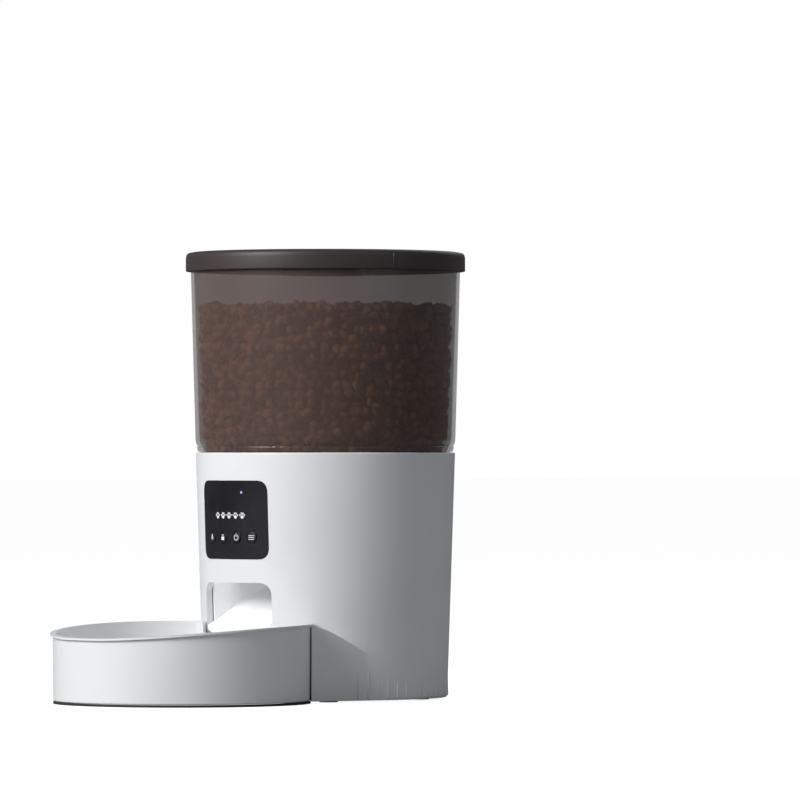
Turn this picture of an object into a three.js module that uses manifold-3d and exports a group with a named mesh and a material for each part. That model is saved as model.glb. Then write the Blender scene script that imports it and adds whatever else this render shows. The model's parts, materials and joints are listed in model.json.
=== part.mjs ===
// Automatic dry food feeder: a round base with the drive and a panel, a see-through hopper, a lid and
// a food tray that pulls out. Millimetres, +Z up, front towards -Y. Azimuths run from the front (-Y)
// towards +X. Every piece is modelled about the base's own axis, and the group is moved at the end.
import * as THREE from "three";
import { mergeVertices } from "three/addons/utils/BufferGeometryUtils.js";
import Module from "manifold-3d";

const wasm = await Module();
wasm.setup();

// Facets
const ROUND = 48; // big turned pieces
const SMALL_ROUND = 32; // turned pieces of the drive
const FINE = 14; // pins, holes and keys
const WELD = 1e-4;

// Clearances
const SEAT_GAP = 0.4; // between pieces that rest on or hang from each other
const FIT_GAP = 0.5; // around pieces that drop into an opening
const TRAY_GAP = 0.8; // between the tray and the base

// Base shell
const BODY_TOP = 171; // seam between base and hopper
const BODY_FOOT_R = 84.5;
const BODY_FLARE = 5.5; // added to the radius from foot to seam
const BODY_WALL = 2.5;
const SHELL_FOOT = 1.5; // lower edge of the shell above the floor
const SHELL_ROUND = 1.5; // rounding of the shell's upper edge
const bodyRadius = (z) => BODY_FOOT_R + (BODY_FLARE * z) / BODY_TOP;
const innerRadius = (z) => bodyRadius(z) - BODY_WALL;

// Hopper and lid
const HOPPER_HEIGHT = 130; // above the seam
const HOPPER_FLARE = 3.4;
const HOPPER_WALL = 2.2;
const HOPPER_SHOULDER = 8; // the narrow ring groove above the seam
const HOPPER_GROOVE = 1.9;
const HOPPER_INSERT = 11; // how deep the hopper reaches into the base
const THROAT_R = 50;
const THROAT_RISE = 7;
const HOPPER_TOP = BODY_TOP + HOPPER_HEIGHT;
const HOPPER_SHOULDER_R = bodyRadius(BODY_TOP) + 0.2;
const HOPPER_TOP_R = HOPPER_SHOULDER_R + HOPPER_FLARE;
const LID_OVERHANG = 3.4;
const LID_RISE = 9; // lid's top above the hopper's rim
const LID_SKIRT = 4.5; // lid's skirt below the hopper's rim
const LID_WALL = 2.4;
const LID_PLATE = 3;
const LID_ROUND = 2.6;
const LID_R = HOPPER_TOP_R + LID_OVERHANG;
const LID_TOP = HOPPER_TOP + LID_RISE;
const PLUG_DEPTH = 5; // lid's inner ring below the hopper's rim
const SEAL_SQUEEZE = 0.5; // gap between the seal and the hopper
const DESICCANT_R = 28;
const DESICCANT_HEIGHT = 12.6;

// Food tray
const TRAY_R = 88;
const TRAY_REACH = 46.7; // from the base's foot to the tray's middle
const TRAY_Y = -(BODY_FOOT_R + TRAY_REACH);
const TRAY_WALL = 2.2;
const TRAY_DRAFT = 1.2;
const TRAY_FLOOR = 6;
const TRAY_BACK_HEIGHT = 54.2;
const TRAY_FRONT_HEIGHT = 45.7;
const TRAY_LIP = 2; // outward lip round the rim
const TRAY_LIP_HEIGHT = 1.3;
const TRAY_RING_HEIGHT = 1.5; // rubber ring the tray stands on
const TRAY_RING_WIDTH = 5;
const TRAY_FOOT = TRAY_RING_HEIGHT + 0.3;
const TRAY_NOTCH_ROOM = 1.5; // on each side of the chute's lip
const TRAY_BACK_Y = TRAY_Y + 58;
const TRAY_BACK_R = bodyRadius(TRAY_BACK_HEIGHT) + TRAY_GAP;

// Side fairings between the tray and the base
const WING_BEARING = THREE.MathUtils.degToRad(50.4); // of the fairing's front corner about the tray
const WING_AZIMUTH = THREE.MathUtils.degToRad(78.1); // where the fairing runs into the base
const WING_EASE = 22.3;
const WING_TOP = TRAY_BACK_HEIGHT - 1.4;
const WING_END = 26.5;

// Outlet and chute
const OUTLET_HALF = 34;
const OUTLET_BOTTOM = 45.5;
const OUTLET_TOP = 81.7;
const OUTLET_ROUND = 7;
const COLLAR_DEPTH = 5; // the outlet's inward collar, from the base's face
const COLLAR_WALL = 1.8;
const CHUTE_WALL = 1.8;
const CHUTE_HALF = OUTLET_HALF - FIT_GAP;
const CHUTE_FLOOR_DROP = 2.2;
const CHUTE_LIP = 5; // how far the chute's middle stands over the tray

// Panel and keys
const PANEL_BOTTOM = BODY_TOP - 73;
const PANEL_HEIGHT = 53.5;
const PANEL_HALF = 32.8;
const PANEL_ROUND = 6;
const PANEL_THICK = 1.5;
const PANEL_RECESS = 1.9;
const PANEL_LEDGE = 3;
const KEY_HEIGHT = PANEL_BOTTOM + 14.8;
const KEY_AZIMUTHS = [-13.4, -4.5, 4.5, 13.4].map(THREE.MathUtils.degToRad);
const KEY_R = 4;
const KEY_PROUD = 0.5;
const KEY_TRAVEL = 0.8;
const KEY_BACK = 5.8; // key's inner end below the base's surface
const LIGHT_AZIMUTH = THREE.MathUtils.degToRad(7.7);
const LIGHT_HEIGHT = PANEL_BOTTOM + 45.7;
const BOARD_HALF = 30;
const BOARD_DEPTH = 12.8; // board's front face behind the base's surface
const BOARD_THICK = 1.6;

// Dispenser, all heights measured down from the seam
const DECK_Z = BODY_TOP - 59;
const DECK_THICK = 2.5;
const CUP_R = 54;
const CUP_WALL = 2.5;
const CUP_FLOOR = DECK_Z - 28;
const CUP_RISE = 5;
const SHAFT_R = 4;
const DROP_INNER_R = 24;
const DROP_OUTER_R = 52;
const DROP_HALF_ANGLE = THREE.MathUtils.degToRad(38);
const VANES = 6;
const VANE_THICK = 2.4;
const ROTOR_R = 52;
const HUB_R = 13;

// Gear train
const GEAR_MODULE = 1;
const WHEEL_TEETH = 36;
const PINION_TEETH = 12;
const ADDENDUM = 0.8;
const DEDENDUM = 1.1;
const BACKLASH = 0.4;
const PRESSURE_ANGLE = THREE.MathUtils.degToRad(20);
const GEAR_CENTRES = (GEAR_MODULE * (WHEEL_TEETH + PINION_TEETH)) / 2;
const GEARBOX_TOP = CUP_FLOOR - 0.3;
const GEARBOX_FLOOR = GEARBOX_TOP - 19.7;
const GEARBOX_WALL = 1.8;
const GEAR_ROOM = 0.9;
const MOTOR_R = 12;
const MOTOR_LENGTH = 32;

// Underside
const PLATE_Z = 4;
const PLATE_THICK = 2.5;
const PLATE_TOP = PLATE_Z + PLATE_THICK;
const PLATE_R = innerRadius(PLATE_Z) - FIT_GAP;
const POST_R = 3.5;
const POST_RADIUS = innerRadius(0) - 3.6;
const POST_AZIMUTHS = [70, 120, -120, -70].map(THREE.MathUtils.degToRad);
const SCREW_R = 1.5;
const SCREW_HEAD_R = 3;
const SCREW_HEAD = 1.8;
const SCREW_LENGTH = 12;
const FOOT_R = 7;
const FOOT_RADIUS = BODY_FOOT_R - 18.5;
const FOOT_AZIMUTHS = [50, 130, -130, -50].map(THREE.MathUtils.degToRad);
const INLET_AZIMUTH = THREE.MathUtils.degToRad(166.5);
const NOTCH_WIDTH = 6;
const NOTCH_HEIGHT = 11.5;
const SPEAKER_R = 14;
const SPEAKER_X = -26;
const SPEAKER_Y = 54;

// Cells
const CELLS = 3;
const CELL_R = 16.75;
const CELL_LENGTH = 60;
const CELL_PITCH = 2 * CELL_R + SEAT_GAP;
const CELL_MID_Y = -18.3;
const CELL_ROOM = 0.5;
const CELL_BOX_WALL = 1.6;
const CELL_BOX_HALF_X = CELL_LENGTH / 2 + 4.2;
const CELL_BOX_HALF_Y = ((CELLS - 1) * CELL_PITCH) / 2 + CELL_R + CELL_ROOM;
const CELL_Z = PLATE_TOP + CELL_R + CELL_ROOM;

// A closed three.js geometry as a solid, whichever way its outline runs.
function solid(geometry) {
  const loose = geometry.index ? geometry.toNonIndexed() : geometry;
  const bare = new THREE.BufferGeometry();
  bare.setAttribute("position", loose.getAttribute("position"));
  const merged = mergeVertices(bare, WELD);
  const corners = merged.index.array;
  const triangles = [];
  for (let i = 0; i < corners.length; i += 3) {
    const [a, b, c] = corners.subarray(i, i + 3);
    if (a !== b && b !== c && c !== a) triangles.push(a, b, c);
  }
  const made = bodyFrom(merged.attributes.position.array, triangles);
  return made.volume() < 0 ? bodyFrom(merged.attributes.position.array, triangles.reverse()) : made;
}

function bodyFrom(positions, triangles) {
  const surface = new wasm.Mesh({
    numProp: 3,
    vertProperties: new Float32Array(positions),
    triVerts: new Uint32Array(triangles),
  });
  return new wasm.Manifold(surface);
}

const join = (first, ...others) => others.reduce((sum, other) => sum.add(other), first);
const cut = (first, ...tools) => tools.reduce((rest, tool) => rest.subtract(tool), first);

// Turned about Z: profile points are [radius, height], on the axis at both ends or closed on itself.
function turned(profile, segments = ROUND) {
  const points = profile.map(([radius, z]) => new THREE.Vector2(radius, z));
  const meetsAxis = profile[0][0] === 0 && profile.at(-1)[0] === 0;
  if (!meetsAxis) points.push(points[0].clone());
  return solid(new THREE.LatheGeometry(points, segments).rotateX(Math.PI / 2));
}

function block(x0, x1, y0, y1, z0, z1, azimuth = 0) {
  const geometry = new THREE.BoxGeometry(x1 - x0, y1 - y0, z1 - z0);
  geometry.translate((x0 + x1) / 2, (y0 + y1) / 2, (z0 + z1) / 2);
  return solid(geometry.rotateZ(azimuth));
}

// Upright cylinder.
function disc(radius, z0, z1, x = 0, y = 0, segments = FINE) {
  const geometry = new THREE.CylinderGeometry(radius, radius, z1 - z0, segments);
  return solid(geometry.rotateX(Math.PI / 2).translate(x, y, (z0 + z1) / 2));
}

// Cylinder lying along a radius of the base, from one distance to another.
function radialRod(radius, near, far, z, azimuth, segments = FINE) {
  const geometry = new THREE.CylinderGeometry(radius, radius, far - near, segments);
  return solid(geometry.translate(0, -(near + far) / 2, z).rotateZ(azimuth));
}

function upright(shape, z0, z1, curveSegments = 8) {
  const geometry = new THREE.ExtrudeGeometry(shape, {
    depth: z1 - z0,
    bevelEnabled: false,
    curveSegments,
  });
  return geometry.translate(0, 0, z0);
}

// An outline in X and Z, given depth along Y.
function frontal(shape, y0, y1, curveSegments = 6) {
  const geometry = upright(shape, 0, y1 - y0, curveSegments);
  return solid(geometry.rotateX(Math.PI / 2).translate(0, y1, 0));
}

// An outline in Y and Z, given width along X.
function sideways(shape, x0, x1, curveSegments = 12) {
  const geometry = upright(shape, x0, x1, curveSegments);
  const turn = new THREE.Matrix4().makeBasis(
    new THREE.Vector3(0, 1, 0),
    new THREE.Vector3(0, 0, 1),
    new THREE.Vector3(1, 0, 0),
  );
  return solid(geometry.applyMatrix4(turn));
}

function polygon(points) {
  return new THREE.Shape(points.map(([x, y]) => new THREE.Vector2(x, y)));
}

function roundedRect(x0, x1, y0, y1, radius) {
  const shape = new THREE.Shape();
  shape.moveTo(x0 + radius, y0);
  shape.lineTo(x1 - radius, y0);
  shape.absarc(x1 - radius, y0 + radius, radius, -Math.PI / 2, 0);
  shape.lineTo(x1, y1 - radius);
  shape.absarc(x1 - radius, y1 - radius, radius, 0, Math.PI / 2);
  shape.lineTo(x0 + radius, y1);
  shape.absarc(x0 + radius, y1 - radius, radius, Math.PI / 2, Math.PI);
  shape.lineTo(x0, y0 + radius);
  shape.absarc(x0 + radius, y0 + radius, radius, Math.PI, 1.5 * Math.PI);
  return shape;
}

// Ring sector about the front, between two radii.
function sector(inner, outer, halfAngle, z0, z1) {
  const front = -Math.PI / 2;
  const shape = new THREE.Shape();
  shape.absarc(0, 0, outer, front - halfAngle, front + halfAngle);
  shape.absarc(0, 0, inner, front + halfAngle, front - halfAngle, true);
  return solid(upright(shape, z0, z1, 12));
}

const onCircle = (radius, azimuth) => [radius * Math.sin(azimuth), -radius * Math.cos(azimuth)];

const WHITE = { color: "#e8eaea", roughness: 0.45, metalness: 0 };
const SMOKE = { color: "#6b6262", roughness: 0.15, metalness: 0 };
const LID_GREY = { color: "#5b5753", roughness: 0.45, metalness: 0 };
const GLOSS_BLACK = { color: "#0c0d10", roughness: 0.1, metalness: 0 };
const DARK = { color: "#2b2c2f", roughness: 0.6, metalness: 0 };
const STEEL = { color: "#b9bcc0", roughness: 0.35, metalness: 1 };
const RUBBER = { color: "#3a3a3c", roughness: 0.9, metalness: 0 };
const ACETAL = { color: "#d9d4c4", roughness: 0.5, metalness: 0 };
const BOARD_GREEN = { color: "#17583a", roughness: 0.5, metalness: 0 };
const CELL_COPPER = { color: "#b0763c", roughness: 0.4, metalness: 0.2 };
const SILICONE = { color: "#d8d8d6", roughness: 0.7, metalness: 0 };
const PAPER = { color: "#efece4", roughness: 0.9, metalness: 0 };
const LIGHT_BLUE = { color: "#b8ccff", roughness: 0.2, metalness: 0 };

const pieces = new THREE.Group();

function piece(name, body, finish) {
  const { vertProperties, triVerts } = body.getMesh();
  const geometry = new THREE.BufferGeometry();
  geometry.setAttribute("position", new THREE.BufferAttribute(vertProperties.slice(), 3));
  geometry.setIndex(new THREE.BufferAttribute(triVerts.slice(), 1));
  geometry.computeVertexNormals();
  const mesh = new THREE.Mesh(geometry, new THREE.MeshStandardMaterial(finish));
  mesh.name = name;
  pieces.add(mesh);
  return mesh;
}

// ---- Base shell with its two fairings ----

const WING_TIP = [
  (TRAY_R + 1.5) * Math.sin(WING_BEARING),
  TRAY_Y + (TRAY_R + 1.5) * Math.cos(WING_BEARING),
];

// The fairing's outer side: from the tray's corner back to where it meets the base.
function wingSide(side, inset) {
  const [endX, endY] = onCircle(bodyRadius(0) - 0.2, WING_AZIMUTH);
  const easeX = endX - WING_EASE * Math.cos(WING_AZIMUTH);
  const easeY = endY - WING_EASE * Math.sin(WING_AZIMUTH);
  const [rootX, rootY] = onCircle(innerRadius(0) - 4, WING_AZIMUTH);
  const [frontX, frontY] = onCircle(innerRadius(0) - 4, THREE.MathUtils.degToRad(37));
  const outline = new THREE.Shape();
  outline.moveTo(side * frontX, frontY);
  outline.lineTo(side * (WING_TIP[0] - inset), WING_TIP[1]);
  outline.quadraticCurveTo(side * (easeX - inset), easeY, side * (endX - inset), endY);
  outline.lineTo(side * rootX, rootY);
  outline.closePath();
  return outline;
}

// Everything above the fairing's falling top edge.
function aboveWing(drop) {
  const [, endY] = onCircle(bodyRadius(0), WING_AZIMUTH);
  const run = endY - WING_TIP[1];
  const outline = new THREE.Shape();
  outline.moveTo(TRAY_Y, WING_TOP - drop);
  outline.lineTo(WING_TIP[1], WING_TOP - drop);
  outline.bezierCurveTo(
    WING_TIP[1] + 0.28 * run,
    WING_TOP - 1.3 - drop,
    WING_TIP[1] + 0.62 * run,
    WING_END + 8.5 - drop,
    endY,
    WING_END - drop,
  );
  outline.lineTo(0, WING_END - drop);
  outline.lineTo(0, BODY_TOP);
  outline.lineTo(TRAY_Y, BODY_TOP);
  return sideways(outline, -LID_R * 2, LID_R * 2);
}

function wing(side, inset) {
  const trayRoom = disc(TRAY_R + TRAY_GAP + inset, 0, BODY_TOP, 0, TRAY_Y, ROUND);
  const bottom = inset > 0 ? 0 : SHELL_FOOT;
  const prism = solid(upright(wingSide(side, inset), bottom, WING_TOP + 5, 12));
  return cut(prism, trayRoom, aboveWing(inset));
}

function bodySolid(inset, z0 = -1, z1 = BODY_TOP + 1) {
  return turned([
    [0, z0],
    [bodyRadius(z0) - inset, z0],
    [bodyRadius(z1) - inset, z1],
    [0, z1],
  ]);
}

function panelBand(outerInset, innerInset) {
  const z0 = PANEL_BOTTOM - 2;
  const z1 = PANEL_BOTTOM + PANEL_HEIGHT + 2;
  return turned([
    [bodyRadius(z0) - innerInset, z0],
    [bodyRadius(z0) - outerInset, z0],
    [bodyRadius(z1) - outerInset, z1],
    [bodyRadius(z1) - innerInset, z1],
  ]);
}

function panelOutline(margin) {
  const shape = roundedRect(
    -PANEL_HALF - margin,
    PANEL_HALF + margin,
    PANEL_BOTTOM - margin,
    PANEL_BOTTOM + PANEL_HEIGHT + margin,
    PANEL_ROUND + margin,
  );
  return frontal(shape, -BODY_FOOT_R - BODY_FLARE - 5, -BODY_FOOT_R / 2);
}

function outletSolid(grow, y0, y1) {
  const [half, top, round] = [OUTLET_HALF + grow, OUTLET_TOP + grow, OUTLET_ROUND + grow];
  const shape = new THREE.Shape();
  shape.moveTo(-half, OUTLET_BOTTOM - grow);
  shape.lineTo(half, OUTLET_BOTTOM - grow);
  shape.absarc(half - round, top - round, round, 0, Math.PI / 2);
  shape.absarc(round - half, top - round, round, Math.PI / 2, Math.PI);
  return frontal(shape, y0, y1);
}

// The outlet's collar stands inwards from the shell and hides the chute's front edge.
function outletCollar() {
  const around = outletSolid(COLLAR_WALL, -BODY_FOOT_R - 20, -BODY_FOOT_R / 2);
  return cut(around.intersect(bodySolid(BODY_WALL / 2)), bodySolid(COLLAR_DEPTH));
}

function post(azimuth) {
  const [x, y] = onCircle(POST_RADIUS, azimuth);
  const column = disc(POST_R, PLATE_TOP + SEAT_GAP, DECK_Z - SEAT_GAP, x, y, 16);
  const web = block(
    -1,
    1,
    -bodyRadius(BODY_TOP),
    -POST_RADIUS,
    PLATE_TOP + SEAT_GAP,
    DECK_Z - SEAT_GAP,
    azimuth,
  );
  const joined = join(column, web.intersect(bodySolid(BODY_WALL / 2)));
  const holes = [
    disc(SCREW_R + 0.3, PLATE_TOP, PLATE_TOP + SCREW_LENGTH + 1, x, y, 12),
    disc(SCREW_R + 0.3, DECK_Z - SCREW_LENGTH - 1, DECK_Z, x, y, 12),
  ];
  return cut(joined, ...holes);
}

function baseShell() {
  const wall = turned([
    [bodyRadius(SHELL_FOOT), SHELL_FOOT],
    [bodyRadius(BODY_TOP - SHELL_ROUND), BODY_TOP - SHELL_ROUND],
    [bodyRadius(BODY_TOP) - SHELL_ROUND * 0.3, BODY_TOP - SHELL_ROUND * 0.3],
    [bodyRadius(BODY_TOP) - SHELL_ROUND, BODY_TOP],
    [innerRadius(BODY_TOP), BODY_TOP],
    [innerRadius(SHELL_FOOT), SHELL_FOOT],
  ]);
  const wings = [1, -1].map((side) => {
    const hollow = cut(wing(side, BODY_WALL), bodySolid(0));
    return cut(wing(side, 0), bodySolid(BODY_WALL), hollow);
  });
  const recess = panelBand(-1, PANEL_RECESS).intersect(panelOutline(0.3));
  const window = panelOutline(-PANEL_LEDGE);
  const notch = block(
    -NOTCH_WIDTH / 2,
    NOTCH_WIDTH / 2,
    -bodyRadius(0) - 2,
    -innerRadius(0) + 2,
    SHELL_FOOT - 1,
    SHELL_FOOT + NOTCH_HEIGHT,
    INLET_AZIMUTH,
  );
  const opening = outletSolid(0, -BODY_FOOT_R - 20, -BODY_FOOT_R / 2);
  const closed = join(wall, outletCollar(), ...wings, ...POST_AZIMUTHS.map(post));
  return cut(closed, recess, window, opening, notch);
}

piece("base_shell", baseShell(), WHITE);

// ---- Underside ----

function batteryDoorway(margin) {
  return block(
    -CELL_BOX_HALF_X - margin,
    CELL_BOX_HALF_X + margin,
    CELL_MID_Y - CELL_BOX_HALF_Y - margin,
    CELL_MID_Y + CELL_BOX_HALF_Y + margin,
    PLATE_Z - 1,
    PLATE_TOP + 1,
  );
}

function bottomPlate() {
  const plate = disc(PLATE_R, PLATE_Z, PLATE_TOP, 0, 0, ROUND);
  const cableSlot = block(-7, 7, -PLATE_R - 2, -PLATE_R + 20, PLATE_Z - 1, PLATE_TOP + 1, INLET_AZIMUTH);
  const screwHoles = POST_AZIMUTHS.map((azimuth) => {
    const [x, y] = onCircle(POST_RADIUS, azimuth);
    return disc(SCREW_R + 0.4, PLATE_Z - 1, PLATE_TOP + 1, x, y, 12);
  });
  const grille = [disc(1.6, PLATE_Z - 1, PLATE_TOP + 1, SPEAKER_X, SPEAKER_Y, 10)];
  for (let i = 0; i < 6; i++) {
    const [dx, dy] = onCircle(6.5, (i * Math.PI) / 3);
    grille.push(disc(1.6, PLATE_Z - 1, PLATE_TOP + 1, SPEAKER_X + dx, SPEAKER_Y + dy, 10));
  }
  return cut(plate, cableSlot, batteryDoorway(0), ...screwHoles, ...grille);
}

piece("bottom_plate", bottomPlate(), WHITE);

function foot() {
  return turned(
    [
      [0, 0],
      [FOOT_R - 0.8, 0],
      [FOOT_R, 0.8],
      [FOOT_R, PLATE_Z - 0.3],
      [0, PLATE_Z - 0.3],
    ],
    24,
  );
}

FOOT_AZIMUTHS.forEach((azimuth, i) => {
  const [x, y] = onCircle(FOOT_RADIUS, azimuth);
  piece(`foot_${i + 1}`, foot(), RUBBER).position.set(x, y, 0);
});

// Pan-head screw with its head's underside at z = 0 and its thread upwards.
function screw(length) {
  const turnedScrew = turned(
    [
      [0, -SCREW_HEAD],
      [SCREW_HEAD_R - 0.6, -SCREW_HEAD],
      [SCREW_HEAD_R, -SCREW_HEAD + 0.7],
      [SCREW_HEAD_R, 0],
      [SCREW_R, 0],
      [SCREW_R, length - 1.5],
      [0, length],
    ],
    12,
  );
  const bars = [0, Math.PI / 2].map((turn) =>
    block(-1.6, 1.6, -0.35, 0.35, -SCREW_HEAD - 1, -SCREW_HEAD + 1, turn),
  );
  return cut(turnedScrew, ...bars);
}

POST_AZIMUTHS.forEach((azimuth, i) => {
  const [x, y] = onCircle(POST_RADIUS, azimuth);
  piece(`base_screw_${i + 1}`, screw(SCREW_LENGTH), STEEL).position.set(x, y, PLATE_Z - 0.3);
  const deckScrew = piece(`deck_screw_${i + 1}`, screw(SCREW_LENGTH), STEEL);
  deckScrew.rotation.x = Math.PI;
  deckScrew.position.set(x, y, DECK_Z + DECK_THICK + 0.3);
});

function batteryCover() {
  const panel = block(
    -CELL_BOX_HALF_X + FIT_GAP,
    CELL_BOX_HALF_X - FIT_GAP,
    CELL_MID_Y - CELL_BOX_HALF_Y + FIT_GAP,
    CELL_MID_Y + CELL_BOX_HALF_Y - FIT_GAP,
    PLATE_Z,
    PLATE_TOP - SEAT_GAP,
  );
  const gripY = CELL_MID_Y + CELL_BOX_HALF_Y - 8;
  const grips = [0, 1, 2].map((i) => {
    const near = gripY - 3 * i;
    return block(-9, 9, near, near + 1.2, PLATE_Z - 1, PLATE_Z + 0.8);
  });
  return cut(panel, ...grips);
}

piece("battery_cover", batteryCover(), WHITE);

function batteryTray() {
  const top = CELL_Z + CELL_R + CELL_ROOM;
  const x = CELL_BOX_HALF_X;
  const y = CELL_BOX_HALF_Y;
  const w = CELL_BOX_WALL;
  const outside = block(
    -x - w,
    x + w,
    CELL_MID_Y - y - w,
    CELL_MID_Y + y + w,
    PLATE_TOP + SEAT_GAP,
    top + w,
  );
  return cut(outside, block(-x, x, CELL_MID_Y - y, CELL_MID_Y + y, PLATE_Z, top));
}

piece("battery_tray", batteryTray(), DARK);

for (let i = 0; i < CELLS; i++) {
  const facing = i % 2 ? -1 : 1;
  const cell = turned(
    [
      [0, -CELL_LENGTH / 2],
      [CELL_R - 0.8, -CELL_LENGTH / 2],
      [CELL_R, -CELL_LENGTH / 2 + 0.8],
      [CELL_R, CELL_LENGTH / 2 - 1.8],
      [CELL_R - 0.8, CELL_LENGTH / 2 - 1],
      [4.7, CELL_LENGTH / 2 - 1],
      [4.7, CELL_LENGTH / 2 + 0.5],
      [0, CELL_LENGTH / 2 + 0.5],
    ],
    24,
  );
  const mesh = piece(`battery_cell_${i + 1}`, cell, CELL_COPPER);
  mesh.rotation.y = (facing * Math.PI) / 2;
  mesh.position.set(0, CELL_MID_Y + (i - (CELLS - 1) / 2) * CELL_PITCH, CELL_Z);
}

for (const [name, side] of [["contact_strip_left", -1], ["contact_strip_right", 1]]) {
  const outer = side * (CELL_BOX_HALF_X - 0.4);
  const inner = side * (CELL_BOX_HALF_X - 1.2);
  const springEnd = side * (CELL_LENGTH / 2 + 0.9);
  const reach = CELL_BOX_HALF_Y - 4;
  const between = (a, b) => [Math.min(a, b), Math.max(a, b)];
  const [x0, x1] = between(outer, inner);
  const strip = block(x0, x1, CELL_MID_Y - reach, CELL_MID_Y + reach, CELL_Z - 5, CELL_Z + 5);
  const pads = Array.from({ length: CELLS }, (_, i) => {
    const y = CELL_MID_Y + (i - (CELLS - 1) / 2) * CELL_PITCH;
    return block(...between(inner, springEnd), y - 4, y + 4, CELL_Z - 4, CELL_Z + 4);
  });
  piece(name, join(strip, ...pads), STEEL);
}

// Barrel jack behind the cable notch, its mouth towards the notch.
function powerInlet() {
  const z0 = PLATE_TOP + SEAT_GAP;
  const near = PLATE_R - 34;
  const far = PLATE_R - 21;
  const housing = block(-5, 5, -far, -near, z0, z0 + 11, INLET_AZIMUTH);
  return cut(housing, radialRod(2.9, near + 4, far + 1, z0 + 5.5, INLET_AZIMUTH));
}

piece("power_inlet", powerInlet(), DARK);

const speaker = turned(
  [
    [0, 0],
    [SPEAKER_R - 3, 0],
    [SPEAKER_R - 2, 0.6],
    [SPEAKER_R, 0.6],
    [SPEAKER_R, 2.2],
    [8, 4],
    [8, 7.5],
    [0, 7.5],
  ],
  24,
);
piece("speaker", speaker, DARK).position.set(SPEAKER_X, SPEAKER_Y, PLATE_TOP + SEAT_GAP);

// ---- Dispenser ----

const EAR_X = GEAR_CENTRES - PINION_TEETH / 2 + 7.5;
const EAR_Y = GEAR_CENTRES / 2;

function dispenserHousing() {
  const bore = SHAFT_R + 0.7;
  const flange = POST_RADIUS + POST_R + 1.2;
  const housing = turned([
    [bore, CUP_FLOOR],
    [CUP_R + CUP_WALL, CUP_FLOOR],
    [CUP_R + CUP_WALL, DECK_Z],
    [flange, DECK_Z],
    [flange, DECK_Z + DECK_THICK],
    [CUP_R + CUP_WALL, DECK_Z + DECK_THICK],
    [CUP_R + CUP_WALL, DECK_Z + CUP_RISE],
    [CUP_R, DECK_Z + CUP_RISE],
    [CUP_R, CUP_FLOOR + CUP_WALL],
    [bore, CUP_FLOOR + CUP_WALL],
  ]);
  const boardEdge = bodyRadius(DECK_Z) - BOARD_DEPTH - BOARD_THICK - 3;
  const boardRoom = block(-PANEL_HALF - 1, PANEL_HALF + 1, -flange - 5, -boardEdge, DECK_Z - 1, DECK_Z + 4);
  const drop = sector(DROP_INNER_R, DROP_OUTER_R, DROP_HALF_ANGLE, CUP_FLOOR - 1, CUP_FLOOR + CUP_WALL + 1);
  const screwHoles = POST_AZIMUTHS.map((azimuth) => {
    const [x, y] = onCircle(POST_RADIUS, azimuth);
    return disc(SCREW_R + 0.4, DECK_Z - 1, DECK_Z + 4, x, y, 12);
  });
  const earHoles = [-1, 1].map((side) =>
    disc(SCREW_R + 0.3, CUP_FLOOR - 1, CUP_FLOOR + CUP_WALL + 1, side * EAR_X, EAR_Y, 12),
  );
  return cut(housing, boardRoom, drop, ...screwHoles, ...earHoles);
}

piece("dispenser_housing", dispenserHousing(), WHITE);

const ROTOR_Z0 = CUP_FLOOR + CUP_WALL + 1.5;
const ROTOR_Z1 = DECK_Z - 3.5;
const baffle = sector(16, CUP_R - 0.7, DROP_HALF_ANGLE + 0.14, ROTOR_Z1 + 1, ROTOR_Z1 + 2.5);
piece("portion_baffle", baffle, DARK);

function portionRotor() {
  const hub = turned(
    [
      [0, ROTOR_Z1 - 3.5],
      [SHAFT_R + 0.3, ROTOR_Z1 - 3.5],
      [SHAFT_R + 0.3, ROTOR_Z0],
      [HUB_R, ROTOR_Z0],
      [HUB_R, ROTOR_Z1],
      [0, ROTOR_Z1],
    ],
    SMALL_ROUND,
  );
  const vanes = Array.from({ length: VANES }, (_, i) => {
    const azimuth = ((i + 0.5) * 2 * Math.PI) / VANES;
    const half = VANE_THICK / 2;
    return block(-half, half, -ROTOR_R, -HUB_R + 2, ROTOR_Z0, ROTOR_Z1, azimuth);
  });
  return join(hub, ...vanes);
}

piece("portion_rotor", portionRotor(), SILICONE);

function agitator() {
  const z0 = ROTOR_Z1 + 0.4;
  const armZ = DECK_Z + 4;
  const hub = turned(
    [
      [0, z0],
      [9, z0],
      [9, armZ + 2],
      [4, armZ + 9],
      [0, armZ + 9],
    ],
    24,
  );
  const arms = [0, 1, 2].map((i) => radialRod(2.1, 0, THROAT_R - 12, armZ, (i * 2 * Math.PI) / 3, 12));
  return join(hub, ...arms);
}

piece("agitator", agitator(), SILICONE);

// Flat-sided teeth whose thickness follows the pressure angle.
function gearOutline(teeth) {
  const pitchR = (GEAR_MODULE * teeth) / 2;
  const pitchHalf = (Math.PI * GEAR_MODULE) / 4 - BACKLASH / 2;
  const halfAngle = (r) => (pitchHalf - (r - pitchR) * Math.tan(PRESSURE_ANGLE)) / r;
  const tipR = pitchR + ADDENDUM;
  const rootR = pitchR - DEDENDUM;
  const points = [];
  for (let i = 0; i < teeth; i++) {
    const middle = (i * 2 * Math.PI) / teeth;
    for (const [r, side] of [[rootR, -1], [tipR, -1], [tipR, 1], [rootR, 1]]) {
      const angle = middle + side * halfAngle(r);
      points.push([r * Math.sin(angle), r * Math.cos(angle)]);
    }
  }
  return polygon(points);
}

const wheel = (z0, z1) => solid(upright(gearOutline(WHEEL_TEETH), z0, z1));

// A pinion stands half a pitch round, so that a gap faces the mating tooth.
const pinion = (z0, z1) => solid(upright(gearOutline(PINION_TEETH), z0, z1).rotateZ(Math.PI / PINION_TEETH));

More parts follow.
